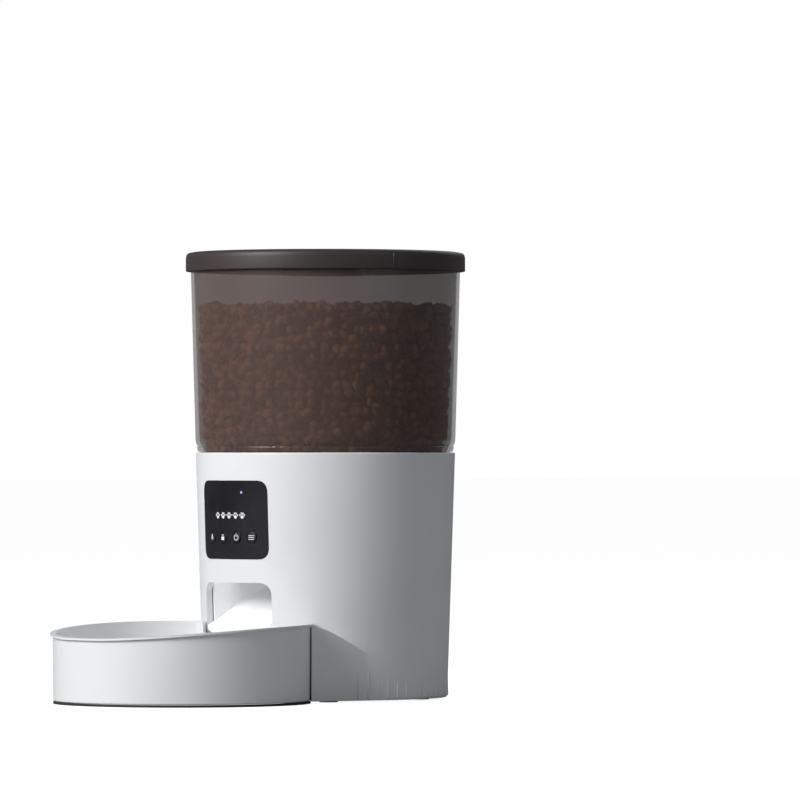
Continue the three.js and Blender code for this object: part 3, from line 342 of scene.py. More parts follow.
def object_noise(tree, scale, detail=3.0, stretch=(1, 1, 1)):
    """Noise on the piece's own coordinates; scale is in cycles per metre."""
    place = tree.nodes.new("ShaderNodeTexCoord")
    mapping = tree.nodes.new("ShaderNodeMapping")
    mapping.inputs["Scale"].default_value = stretch
    noise = tree.nodes.new("ShaderNodeTexNoise")
    noise.inputs["Scale"].default_value = scale
    noise.inputs["Detail"].default_value = detail
    tree.links.new(place.outputs["Object"], mapping.inputs["Vector"])
    tree.links.new(mapping.outputs["Vector"], noise.inputs["Vector"])
    return noise.outputs["Fac"]


def ramp(tree, value, stops):
    """A colour ramp through (position, colour) stops."""
    node = tree.nodes.new("ShaderNodeValToRGB")
    elements = node.color_ramp.elements
    while len(elements) < len(stops):
        elements.new(0.5)
    for element, (position, colour) in zip(elements, stops):
        element.position = position
        element.color = (*colour, 1) if len(colour) == 3 else colour
    tree.links.new(value, node.inputs["Fac"])
    return node.outputs["Color"]


def grey(level):
    return (level, level, level)


def bumped(tree, shader, value, strength, distance):
    bump = tree.nodes.new("ShaderNodeBump")
    bump.inputs["Strength"].default_value = strength
    bump.inputs["Distance"].default_value = distance
    tree.links.new(value, bump.inputs["Height"])
    tree.links.new(bump.outputs["Normal"], shader.inputs["Normal"])


def tinted(colour, share):
    return tuple(min(1.0, c * share) for c in colour)


def moulded(name, colour, roughness, grain=2600, depth=0.02 * MM, spread=0.03, strength=0.25, glow=0.0):
    """Moulded plastic: faint cloudiness in the colour, fine spark-eroded grain and uneven gloss.

    glow is painted light: an even emission in the piece's colour that stands in for the daylight thin white
    walls let through.
    """
    material, tree, shader = node_material(name, colour, roughness)
    shader.inputs["Emission Color"].default_value = (*colour, 1)
    shader.inputs["Emission Strength"].default_value = glow
    cloud = object_noise(tree, 14, 2)
    shade = ramp(tree, cloud, [(0.3, tinted(colour, 1 - spread)), (0.7, tinted(colour, 1 + spread))])
    tree.links.new(shade, shader.inputs["Base Color"])
    fine = object_noise(tree, grain, 2)
    gloss = ramp(tree, fine, [(0.3, grey(roughness * 0.85)), (0.7, grey(min(1, roughness * 1.15)))])
    tree.links.new(gloss, shader.inputs["Roughness"])
    bumped(tree, shader, fine, strength, depth)
    return material


def smoky(name, colour, density):
    """See-through smoky plastic with faint flow lines and a dusty haze along its edges."""
    material, tree, shader = node_material(name, colour, 0.16)
    shader.inputs["Specular IOR Level"].default_value = 0.5
    shader.inputs["Alpha"].default_value = density
    shader.inputs["Sheen Weight"].default_value = 0.35
    shader.inputs["Sheen Roughness"].default_value = 0.35
    shader.inputs["Sheen Tint"].default_value = (1.0, 0.95, 0.93, 1)
    flow = object_noise(tree, 9, 3, stretch=(1, 1, 0.25))
    tint = ramp(tree, flow, [(0.3, tinted(colour, 0.93)), (0.7, tinted(colour, 1.07))])
    tree.links.new(tint, shader.inputs["Base Color"])
    bumped(tree, shader, flow, 0.15, 0.3 * MM)
    return material


def gloss_black(name):
    """Piano-black acrylic with the faintest haze."""
    base = (0.010, 0.010, 0.012)
    material, tree, shader = node_material(name, base, 0.12)
    haze = object_noise(tree, 60, 3)
    tree.links.new(ramp(tree, haze, [(0.3, grey(0.10)), (0.75, grey(0.2))]), shader.inputs["Roughness"])
    tree.links.new(ramp(tree, haze, [(0.3, tinted(base, 0.8)), (0.7, tinted(base, 1.4))]),
                   shader.inputs["Base Color"])
    shader.inputs["Specular IOR Level"].default_value = 0.35
    shader.inputs["Coat Weight"].default_value = 0.15
    shader.inputs["Coat Roughness"].default_value = 0.05
    return material


def baked_food(name, colour):
    """Baked kibble: pores, crumbs and patches from pale to dark brown."""
    material, tree, shader = node_material(name, colour, 0.85)
    patch = object_noise(tree, 95, 2)
    shade = ramp(tree, patch, [
        (0.36, tinted(colour, 0.25)),
        (0.5, colour),
        (0.62, tinted(colour, 1.6)),
    ])
    tree.links.new(shade, shader.inputs["Base Color"])
    bumped(tree, shader, object_noise(tree, 1100, 4), 0.6, 0.4 * MM)
    return material


def brushed(name, colour, roughness):
    """Plated steel with fine scratches."""
    material, tree, shader = node_material(name, colour, roughness, 1.0)
    scratch = object_noise(tree, 900, 3, stretch=(1, 1, 0.06))
    level = ramp(tree, scratch, [(0.3, grey(roughness * 0.7)), (0.7, grey(roughness * 1.35))])
    tree.links.new(level, shader.inputs["Roughness"])
    bumped(tree, shader, scratch, 0.15, 0.02 * MM)
    return material


def lit(name, colour, strength):
    """A small lamp lens that glows."""
    material, tree, shader = node_material(name, colour, 0.3)
    shader.inputs["Emission Color"].default_value = (*colour, 1)
    shader.inputs["Emission Strength"].default_value = strength
    spots = object_noise(tree, 1500, 2)
    tree.links.new(ramp(tree, spots, [(0.3, grey(0.2)), (0.7, grey(0.4))]), shader.inputs["Roughness"])
    return material


MATERIALS = {}


def material(name):
    """Each finish of the feeder, made once."""
    scene = bpy.context.scene
    shell = tuple(scene.feeder_base.colour)
    makers = {
        "shell": lambda: moulded("shell white", shell, 0.42),
        "tray": lambda: moulded("tray white", tinted(shell, 1.01), 0.38),
        "inner": lambda: moulded("inner white", tinted(shell, 0.9), 0.55),
        # The chute's white is tinted brighter than the shell and glows: painted light that brightens its
        # shaded inside.
        "chute": lambda: moulded("chute white painted glow", tinted(shell, 1.05), 0.5, glow=0.2),
        "lid": lambda: moulded("lid grey", tuple(scene.feeder_hopper.lid_colour), 0.5),
        "smoke": lambda: smoky("smoke clear", tuple(scene.feeder_hopper.colour),
                               scene.feeder_hopper.density),
        "black": lambda: gloss_black("gloss black"),
        "key": lambda: moulded("key black", (0.004, 0.004, 0.005), 0.35, spread=0.2),
        "print": lambda: moulded("white print", (0.85, 0.86, 0.88), 0.6),
        "food": lambda: baked_food("baked food", tuple(scene.feeder_food.colour)),
        "rubber": lambda: moulded("rubber", (0.03, 0.03, 0.032), 0.85, grain=1200, spread=0.15),
        "dark": lambda: moulded("dark plastic", (0.03, 0.031, 0.034), 0.6, spread=0.12),
        "steel": lambda: brushed("plated steel", (0.60, 0.61, 0.63), 0.35),
        "silicone": lambda: moulded("silicone", (0.62, 0.62, 0.60), 0.65, grain=900),
        "acetal": lambda: moulded("acetal", (0.68, 0.64, 0.54), 0.45),
        "board": lambda: moulded("solder mask", (0.01, 0.11, 0.05), 0.4, spread=0.15),
        "cell": lambda: moulded("cell wrap", (0.42, 0.2, 0.06), 0.3, spread=0.08),
        "paper": lambda: moulded("sachet paper", (0.8, 0.79, 0.75), 0.9, grain=1500, depth=0.1 * MM),
        "light": lambda: lit("status light", (0.38, 0.46, 0.9), 0.35),
    }
    if name not in MATERIALS:
        MATERIALS[name] = makers[name]()
    return MATERIALS[name]


FRAME_FINISHES = {
    "white_shell": "inner",
    "tray_white": "tray",
    "rubber": "rubber",
    "steel": "steel",
    "dark_plastic": "dark",
    "cell_wrap": "cell",
    "silicone": "silicone",
    "acetal": "acetal",
    "board": "board",
    "gloss_black": "black",
    "status_light": "light",
    "smoke_clear": "smoke",
    "lid_grey": "lid",
    "paper": "paper",
}


# ---- Pieces ----


class FEEDER_OT_studio(bpy.types.Operator):
    """Adds the camera, the soft studio light, the pale floor and the white surround"""

    bl_idname = "feeder.studio"
    bl_label = "Studio"

    def execute(self, context):
        self.add_camera(context.scene)
        self.add_lights()
        self.add_surround(context.scene)
        self.add_floor()
        return {"FINISHED"}

    def add_camera(self, scene):
        azimuth = math.radians(48.2)
        distance = 5.0
        clear_selection()
        place = around(distance, azimuth, 172 * MM)
        turn = (math.radians(90.406), 0, azimuth - math.radians(0.593))
        bpy.ops.object.camera_add(location=place, rotation=turn)
        camera = bpy.context.object
        camera.name = "camera"
        camera.data.lens = 324
        camera.data.sensor_width = 36
        camera.data.clip_end = 100
        scene.camera = camera
        scene.view_settings.view_transform = "Standard"

    def add_lights(self):
        """A large key from the front left of the camera and a weak fill from behind it."""
        lamps = [
            ("key", -9, 28, 2.6, 1.3, 70, (1.0, 0.995, 0.985)),
            ("fill", 95, 25, 3.0, 2.0, 7, (0.93, 0.96, 1.0)),
            ("rim", 200, 35, 3.0, 1.5, 12, (0.97, 0.98, 1.0)),
        ]
        for name, azimuth, elevation, distance, size, power, colour in lamps:
            flat = distance * math.cos(math.radians(elevation))
            place = around(flat, math.radians(azimuth), distance * math.sin(math.radians(elevation)) + 0.15)
            clear_selection()
            bpy.ops.object.light_add(type="AREA", location=place)
            lamp = bpy.context.object
            lamp.name = name
            lamp.rotation_euler = (AXIS + Vector((0, 0, 0.15)) - place).to_track_quat("-Z", "Y").to_euler()
            lamp.data.size = size
            lamp.data.energy = power
            lamp.data.color = colour

    def add_surround(self, scene):
        """White to look at, dimmer as a source of light."""
        world = bpy.data.worlds.new("surround")
        scene.world = world
        world.use_nodes = True
        tree = world.node_tree
        tree.nodes.clear()
        output = tree.nodes.new("ShaderNodeOutputWorld")
        seen = tree.nodes.new("ShaderNodeBackground")
        seen.inputs["Color"].default_value = (1, 1, 1, 1)
        seen.inputs["Strength"].default_value = 1.0
        light = tree.nodes.new("ShaderNodeBackground")
        light.inputs["Color"].default_value = (0.93, 0.96, 1.0, 1)
        light.inputs["Strength"].default_value = 0.17
        path = tree.nodes.new("ShaderNodeLightPath")
        mix = tree.nodes.new("ShaderNodeMixShader")
        tree.links.new(path.outputs["Is Camera Ray"], mix.inputs["Fac"])
        tree.links.new(light.outputs[0], mix.inputs[1])
        tree.links.new(seen.outputs[0], mix.inputs[2])
        tree.links.new(mix.outputs[0], output.inputs["Surface"])

    def add_floor(self):
        clear_selection()
        bpy.ops.mesh.primitive_plane_add(size=60)
        floor = bpy.context.object
        floor.name = "floor"
        material = bpy.data.materials.new("floor white")
        material.use_nodes = True
        shader = material.node_tree.nodes["Principled BSDF"]
        shader.inputs["Base Color"].default_value = (0.32, 0.32, 0.325, 1)
        shader.inputs["Roughness"].default_value = 0.9
        shader.inputs["Specular IOR Level"].default_value = 0.0
        shader.inputs["Emission Color"].default_value = (1, 1, 1, 1)
        path = material.node_tree.nodes.new("ShaderNodeLightPath")
        glow = material.node_tree.nodes.new("ShaderNodeMath")
        glow.operation = "MULTIPLY"
        glow.inputs[1].default_value = 0.93
        material.node_tree.links.new(path.outputs["Is Camera Ray"], glow.inputs[0])
        material.node_tree.links.new(glow.outputs[0], shader.inputs["Emission Strength"])
        floor.data.materials.append(material)


class FEEDER_OT_frame_finishes(bpy.types.Operator):
    """Gives every piece of the fixed frame its finish"""

    bl_idname = "feeder.frame_finishes"
    bl_label = "Frame finishes"

    def execute(self, context):
        for row in frame["record"]["subparts"]:
            node = frame["nodes"][row["node"]]
            node.data.materials.clear()
            node.data.materials.append(material(FRAME_FINISHES[row["material_slot"]]))
        return {"FINISHED"}


WING_AZIMUTH = math.radians(78.1)
NOTCH_AZIMUTH = math.radians(166.5)


def wing_corner():
    """Where the tray, the fairing and the floor meet, on the +X side."""
    bearing = math.radians(50.4)
    reach = TRAY_RADIUS - bpy.context.scene.feeder_tray.lip + 1.5 * MM
    return TRAY_CENTRE + Vector((reach * math.sin(bearing), reach * math.cos(bearing), 0))


def wing_curve(steps=24):
    """The fairing's outer side in plan, from the tray's corner to the base, on the +X side."""
    start = wing_corner()
    end = around(body_radius(0) - 0.2 * MM, WING_AZIMUTH)
    ease = 22.3 * MM
    control = end - Vector((math.cos(WING_AZIMUTH), math.sin(WING_AZIMUTH), 0)) * ease
    points = []
    for k in range(steps + 1):
        t = k / steps
        points.append(start * (1 - t) ** 2 + control * 2 * t * (1 - t) + end * t * t)
    return points


def foot_radius_at(azimuth):
    """Outer radius of the base near the floor, fairings included."""
    turn = abs((azimuth + math.pi) % (2 * math.pi) - math.pi)
    polar = [(math.atan2(p.x, AXIS.y - p.y), (p - AXIS).length) for p in wing_curve()]
    for (near, near_r), (far, far_r) in zip(polar, polar[1:]):
        if near <= turn <= far:
            return near_r + (far_r - near_r) * (turn - near) / (far - near)
    return body_radius(0)


def outlet_prism(name, grow):
    """The outlet's outline driven through the front of the base."""
    half, low, high = 34 * MM + grow, OUTLET_FOOT - grow, 81.7 * MM + grow
    corners = [(-half, low, MM), (half, low, MM), (half, high), (-half, high)]
    outline = softened(corners, 9.5 * MM + grow, 10)
    front = AXIS.y - body_radius(SEAM) - 10 * MM
    return extruded(name, [Vector((x, front, z)) for x, z in outline], (0, 45 * MM, 0))


class FEEDER_OT_base(bpy.types.Operator):
    """Builds the base shell with its fairings, panel recess, outlet, rear arch, notch and foot ribs"""

    bl_idname = "feeder.base"
    bl_label = "Base shell"

    def execute(self, context):
        size = context.scene.feeder_base
        shell = self.wall(size)
        for side in (1, -1):
            carve(shell, self.wing(side, size), "UNION")
        carve(shell, panel_tool("recess", 1.9 * MM, 0.3 * MM))
        carve(shell, panel_prism("window", -3 * MM))
        carve(shell, self.collar(), "UNION")
        carve(shell, outlet_prism("outlet", 0))
        carve(shell, self.rear_arch())
        carve(shell, self.notch(size))
        edge_bevel(shell, 0.3 * MM)
        smooth(shell, weighted=True)
        finish(shell, material("shell"), "base", "white_shell", "base_shell")
        finish(self.ribs(size), material("shell"), "base", "white_shell")
        return {"FINISHED"}

    def wall(self, size):
        foot = SHELL_LOW[2]
        outer_foot = body_radius(foot)
        return turned("base_skin", [
            (outer_foot, foot, 3 * MM),
            (body_radius(SEAM), SEAM, 1.2 * MM),
            (body_radius(SEAM) - size.wall, SEAM),
            (outer_foot - size.wall, foot),
        ], steps=180)

    def wing(self, side, size):
        curve = wing_curve()
        inner = body_radius(0) - size.wall - 4 * MM
        root_end = around(inner, WING_AZIMUTH)
        root_front = around(inner, math.radians(37))
        foot = SHELL_LOW[2]
        plan = [root_front, *curve, root_end]
        outline = [Vector((side * p.x, p.y, foot)) for p in plan]
        wing = extruded("wing", outline, (0, 0, 60 * MM))
        tray_room = turned("tray_room", [
            (0, -MM), (TRAY_RADIUS - 1.2 * MM, -MM), (TRAY_RADIUS - 1.2 * MM, SEAM), (0, SEAM),
        ], closed=False, round_by=0, centre=TRAY_CENTRE)
        carve(wing, tray_room)
        carve(wing, self.above_wing())
        carve(wing, turned("inside", [
            (0, -MM), (body_radius(0) - size.wall, -MM), (body_radius(SEAM) - size.wall, SEAM), (0, SEAM),
        ], closed=False, round_by=0, steps=180))
        return wing

    def above_wing(self):
        """All above the fairing's top edge, which falls in an S from the tray to the base."""
        start = wing_corner().y
        end = wing_curve()[-1].y
        run = end - start
        top, low = TRAY_HIGH[2] - 1.4 * MM, 26.5 * MM
        knots = [
            Vector((start, top)),
            Vector((start + 0.28 * run, top - 1.3 * MM)),
            Vector((start + 0.62 * run, low + 8.5 * MM)),
            Vector((end, low)),
        ]
        edge = [(TRAY_CENTRE.y, top)]
        for k in range(21):
            t = k / 20
            edge.append(knots[0] * (1 - t) ** 3 + knots[1] * 3 * t * (1 - t) ** 2
                        + knots[2] * 3 * t * t * (1 - t) + knots[3] * t ** 3)
        edge += [(AXIS.y + 20 * MM, low), (AXIS.y + 20 * MM, SEAM), (TRAY_CENTRE.y, SEAM)]
        width = 2 * LID_RADIUS
        return extruded("above_wing", [Vector((-width, y, z)) for y, z in edge], (2 * width, 0, 0))

    def collar(self):
        """The outlet's inward collar."""
        collar = outlet_prism("collar", 1.8 * MM)
        carve(collar, turned("collar_band", [
            (body_radius(0) - 5 * MM, 0), (body_radius(0) - 1.2 * MM, 0),
            (body_radius(SEAM) - 1.2 * MM, SEAM), (body_radius(SEAM) - 5 * MM, SEAM),
        ], round_by=0, steps=180), "INTERSECT")
        return collar

    def rear_arch(self):
        """A shallow arch-topped recess that fades out towards the floor."""
        half, low, spring, high = 35 * MM, 38 * MM, 118 * MM, 144 * MM
        outline = [(-half, low), (half, low)]
        for k in range(25):
            angle = math.pi * k / 24
            outline.append((half * math.cos(angle), spring + (high - spring) * math.sin(angle)))
        back = AXIS.y + 40 * MM
        arch = extruded("arch", [Vector((x, back, z)) for x, z in outline], (0, 70 * MM, 0))
        depth = 1.0 * MM
        band = turned("arch_band", [
            (body_radius(low) + 0.05 * MM, low),
            (body_radius(75 * MM) - depth, 75 * MM),
            (body_radius(high) - depth, high + 2 * MM),
            (body_radius(high) + 5 * MM, high + 2 * MM),
            (body_radius(high) + 5 * MM, low),
        ], round_by=0, steps=180)
        carve(arch, band, "INTERSECT")
        return arch

    def notch(self, size):
        width, height = 6 * MM, 11.5 * MM
        foot = SHELL_LOW[2]
        outer = body_radius(0) + 2 * MM
        inner = body_radius(0) - size.wall - 2 * MM
        outline = softened([
            (-width / 2, foot - MM, 0), (width / 2, foot - MM, 0),
            (width / 2, foot + height), (-width / 2, foot + height),
        ], 1.5 * MM)
        points = [Vector((x, AXIS.y - outer, z)) for x, z in outline]
        tool = extruded("notch", points, (0, outer - inner, 0))
        return turn_about_axis(tool, NOTCH_AZIMUTH)

    def ribs(self, size):
        """Fine upright ribs round the back of the foot, fading out at their tops."""
        foot = SHELL_LOW[2] + 1.2 * MM
        length = size.rib_height - foot
        clear_selection()
        bpy.ops.mesh.primitive_cylinder_add(vertices=8, radius=0.6 * MM, depth=length,
                                            location=(0, 0, foot + length / 2))
        rib = bpy.context.object
        rib.name = "foot_ribs"
        settle(rib)
        top = [v for v in rib.data.vertices if v.co.z > foot + length / 2]
        for v in top:
            v.co = Vector((v.co.x * 0.5, v.co.y * 0.5 + 0.55 * MM, v.co.z))
        edge_bevel(rib, 0.25 * MM, 2)
        step = math.radians(5.2)
        lean = size.flare / SEAM
        copies = []
        for i in range(size.rib_count):
            azimuth = math.pi + (i - (size.rib_count - 1) / 2) * step
            if abs(azimuth - NOTCH_AZIMUTH) < 0.6 * step:
                continue
            copy = rib.copy()
            copy.data = rib.data.copy()
            bpy.context.collection.objects.link(copy)
            reach = foot_radius_at(azimuth) + foot * lean
            tilt = Matrix.Rotation(math.atan(lean), 4, "X")
            spin = Matrix.Translation(AXIS) @ Matrix.Rotation(azimuth, 4, "Z")
            copy.matrix_world = spin @ Matrix.Translation((0, -reach, 0)) @ tilt
            settle(copy)
            copies.append(copy)
        bpy.data.objects.remove(rib)
        ribs = joined(*copies)
        ribs.name = "foot_ribs"
        smooth(ribs, 50)
        return ribs


def panel_prism(name, margin):
    """A block with the panel's rounded outline, grown by a margin, through the front wall."""
    corner = bpy.context.scene.feeder_panel.corner
    x0, x1 = PANEL_LOW[0] - margin, PANEL_HIGH[0] + margin
    z0, z1 = PANEL_LOW[2] - margin, PANEL_HIGH[2] + margin
    outline = softened([(x0, z0), (x1, z0), (x1, z1), (x0, z1)], 1.3 * (corner + margin), 8)
    front = AXIS.y - body_radius(SEAM) - 10 * MM
    return extruded(name, [Vector((x, front, z)) for x, z in outline], (0, 45 * MM, 0))


def panel_tool(name, depth, margin, proud=2 * MM):
    """The part of the front wall's band that lies inside the panel's outline."""
    z0, z1 = PANEL_LOW[2] - 2 * MM, PANEL_HIGH[2] + 2 * MM
    band = turned(name, [
        (body_radius(z0) - depth, z0),
        (body_radius(z0) + proud, z0),
        (body_radius(z1) + proud, z1),
        (body_radius(z1) - depth, z1),
    ], round_by=0, steps=180)
    carve(band, panel_prism("outline", margin), "INTERSECT")
    return band


class FEEDER_OT_panel(bpy.types.Operator):
    """Builds the gloss black panel that wraps round the front"""

    bl_idname = "feeder.panel"
    bl_label = "Panel"

    def execute(self, context):
        size = context.scene.feeder_panel
        panel = panel_tool("panel_skin", size.thickness, 0, proud=0.1 * MM)
        for i in range(1, 5):
            low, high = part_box(f"key_{i}")
            middle = (Vector(low) + Vector(high)) / 2
            azimuth = math.atan2(middle.x, AXIS.y - middle.y)
            carve(panel, self.hole(size.halo + 0.4 * MM, azimuth, middle.z))
        low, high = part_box("status_light")
        middle = (Vector(low) + Vector(high)) / 2
        carve(panel, self.straight_hole(0.9 * MM, middle.x, middle.z))
        low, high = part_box("microphone")
        middle = (Vector(low) + Vector(high)) / 2
        carve(panel, self.straight_hole(0.5 * MM, middle.x, middle.z))
        edge_bevel(panel, 0.25 * MM, 2, 50)
        smooth(panel, weighted=True)
        finish(panel, material("black"), "base", "gloss_black", "panel_cover")
        return {"FINISHED"}

    def hole(self, radius, azimuth, z):
        return turn_about_axis(self.straight_hole(radius, 0, z), azimuth)

    def straight_hole(self, radius, x, z):
        clear_selection()
        bpy.ops.mesh.primitive_cylinder_add(vertices=48, radius=radius, depth=30 * MM,
                                            location=(x, AXIS.y - body_radius(z), z),
                                            rotation=(math.pi / 2, 0, 0))
        tool = bpy.context.object
        settle(tool)
        return tool


# ---- Prints on the panel and the keys ----


def oval(x, y, rx, ry, tilt=0.0, steps=20):
    points = []
    for k in range(steps):
        angle = 2 * math.pi * k / steps
        u, v = rx * math.cos(angle), ry * math.sin(angle)
        across = u * math.cos(tilt) - v * math.sin(tilt)
        up = u * math.sin(tilt) + v * math.cos(tilt)
        points.append((x + across, y + up))
    return points


def bar(x0, y0, x1, y1, width):
    """A stroke with round ends."""
    along = math.atan2(y1 - y0, x1 - x0)
    points = []
    for x, y, start in ((x1, y1, along - math.pi / 2), (x0, y0, along + math.pi / 2)):
        for k in range(7):
            angle = start + math.pi * k / 6
            points.append((x + width / 2 * math.cos(angle), y + width / 2 * math.sin(angle)))
    return points


def arc(x, y, radius, width, start, end, steps=18):
    """A bent stroke between two angles in degrees."""
    points = []
    outward = (radius + width / 2, range(steps + 1))
    inward = (radius - width / 2, range(steps, -1, -1))
    for reach, order in (outward, inward):
        for k in order:
            angle = math.radians(start + (end - start) * k / steps)
            points.append((x + reach * math.cos(angle), y + reach * math.sin(angle)))
    return points


def paw(x, size):
    """One paw print, size across, standing on the line y = 0."""
    s = size
    return [
        oval(x, 0.30 * s, 0.26 * s, 0.21 * s),
        oval(x - 0.38 * s, 0.55 * s, 0.095 * s, 0.15 * s, 0.35),
        oval(x - 0.14 * s, 0.76 * s, 0.10 * s, 0.17 * s, 0.1),
        oval(x + 0.14 * s, 0.76 * s, 0.10 * s, 0.17 * s, -0.1),
        oval(x + 0.38 * s, 0.55 * s, 0.095 * s, 0.15 * s, -0.35),
    ]


PRINTS = {
    "microphone": [
        bar(0, -0.1, 0, 1.0, 1.1),
        arc(0, 0.1, 1.15, 0.3, 190, 350),
        bar(0, -1.25, 0, -1.6, 0.3),
    ],
    "lock": [
        [(-1.2, -1.5), (1.2, -1.5), (1.2, 0.35), (-1.2, 0.35)],
        arc(0, 0.6, 0.75, 0.34, -10, 190),
    ],
    "power": [
        arc(0, 0, 1.4, 0.42, 125, 415, 28),
        bar(0, 0.45, 0, 1.75, 0.42),
    ],
    "sliders": [
        bar(-1.7, 1.0, 1.7, 1.0, 0.34),
        bar(-1.7, 0, 1.7, 0, 0.34),
        bar(-1.7, -1.0, 1.7, -1.0, 0.34),
    ],
}


def printed(name, outlines, reach, azimuth, z, lean=0.0):
    """Raised white print: outlines in millimetres, laid on the wall at that reach and azimuth."""
    height = bpy.context.scene.feeder_panel.print_height
    marks = []
    for outline in outlines:
        points = [Vector((x * MM, 0, y * MM)) for x, y in outline]
        marks.append(extruded(name, points, (0, -height, 0)))
    mark = joined(*marks)
    mark.name = name
    place = Matrix.Translation(AXIS) @ Matrix.Rotation(azimuth, 4, "Z")
    mark.matrix_world = place @ Matrix.Translation((0, -reach, z)) @ Matrix.Rotation(lean, 4, "X")
    settle(mark)
    weld(mark)
    return mark


class FEEDER_OT_keys(bpy.types.Operator):
    """Builds the four keys and the white prints on keys and panel"""

    bl_idname = "feeder.keys"
    bl_label = "Keys and prints"

    def execute(self, context):
        size = context.scene.feeder_panel
        for i, sign in enumerate(("microphone", "lock", "power", "sliders"), 1):
            low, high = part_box(f"key_{i}")
            middle = (Vector(low) + Vector(high)) / 2
            azimuth = math.atan2(middle.x, AXIS.y - middle.y)
            face = body_radius(middle.z) + 0.5 * MM
            key = self.key(i, size.halo, face, azimuth, middle.z)
            finish(key, material("key"), f"key_{i}", "gloss_black", f"key_{i}")
            outlines = [[(1.3 * x, 1.3 * y) for x, y in outline] for outline in PRINTS[sign]]
            mark = printed(f"key_print_{i}", outlines, face - 0.02 * MM, azimuth, middle.z)
            finish(mark, material("print"), f"key_{i}", "gloss_black")
        self.paw_trail(context)
        return {"FINISHED"}

    def key(self, number, radius, face, azimuth, z):
        """A low round key with a rolled edge, a flange behind the panel and a stem."""
        key = turned(f"key_cap_{number}", [
            (0, 0), (radius, 0, 0.5 * MM), (radius, -2.2 * MM), (radius + 1.1 * MM, -2.2 * MM, 0.1 * MM),
            (radius + 1.1 * MM, -2.9 * MM, 0.1 * MM),
            (1.6 * MM, -2.9 * MM), (1.6 * MM, -6.2 * MM), (0, -6.2 * MM),
        ], steps=48, round_by=0.3 * MM, closed=False, centre=Vector((0, 0, 0)))
        place = Matrix.Translation(AXIS) @ Matrix.Rotation(azimuth, 4, "Z")
        key.matrix_world = place @ Matrix.Translation((0, -face, z)) @ Matrix.Rotation(math.pi / 2, 4, "X")
        settle(key)
        smooth(key)
        return key

    def paw_trail(self, context):
        """A short trail of paw prints across the middle of the panel."""
        z = PANEL_LOW[2] + 27.2 * MM
        base = context.scene.feeder_base
        lean = math.atan(base.flare / SEAM)
        reach = body_radius(z) + 0.12 * MM
        for i in range(5):
            azimuth = math.radians(-8.2 + 4.1 * i)
            trail = printed(f"paw_print_{i + 1}", paw(0, 5.2), reach, azimuth, z, lean)
            finish(trail, material("print"), "base", "gloss_black")


class FEEDER_OT_hopper(bpy.types.Operator):
    """Builds the smoky hopper with its ring groove and funnel"""

    bl_idname = "feeder.hopper"
    bl_label = "Hopper"

    def execute(self, context):
        size = context.scene.feeder_hopper
        shoulder_r, rim_r = self.radii(size)
        seam = SEAM + 0.4 * MM
        insert_r = body_radius(SEAM) - context.scene.feeder_base.wall - 1.1 * MM
        insert_low = SEAM - 11 * MM
        groove = shoulder_r - 1.9 * MM
        shoulder = SEAM + size.shoulder
        low = HOPPER_LOW[2]
        throat, throat_top = 50 * MM, low + 7.5 * MM
        top = HOPPER_HIGH[2]
        hopper = turned("hopper_skin", [
            (throat, low),
            (throat, throat_top, 3 * MM),
            (insert_r - 4 * MM, insert_low, 2 * MM),
            (insert_r, insert_low),
            (insert_r, seam),
            (groove, seam, 0.6 * MM),
            (groove + 1.0 * MM, seam + 3.2 * MM),
            (groove + 0.2 * MM, seam + 4.0 * MM),
            (groove + 1.0 * MM, seam + 4.8 * MM),
            (shoulder_r, shoulder, 2 * MM),
            (rim_r, top, 0.9 * MM),
            (rim_r - size.wall, top, 0.9 * MM),
            (shoulder_r - size.wall - 0.6 * MM, shoulder, 2 * MM),
            (insert_r - size.wall, seam + MM, 2 * MM),
            (insert_r - size.wall, insert_low + 4 * MM, 3 * MM),
            (throat - size.wall, throat_top + 1.5 * MM, 3 * MM),
            (throat - size.wall, low),
        ], steps=180)
        smooth(hopper, 40)
        finish(hopper, material("smoke"), "hopper", "smoke_clear", "hopper")
        return {"FINISHED"}

    @staticmethod
    def radii(size):
        shoulder_r = body_radius(SEAM) + 0.2 * MM
        return shoulder_r, shoulder_r + size.flare


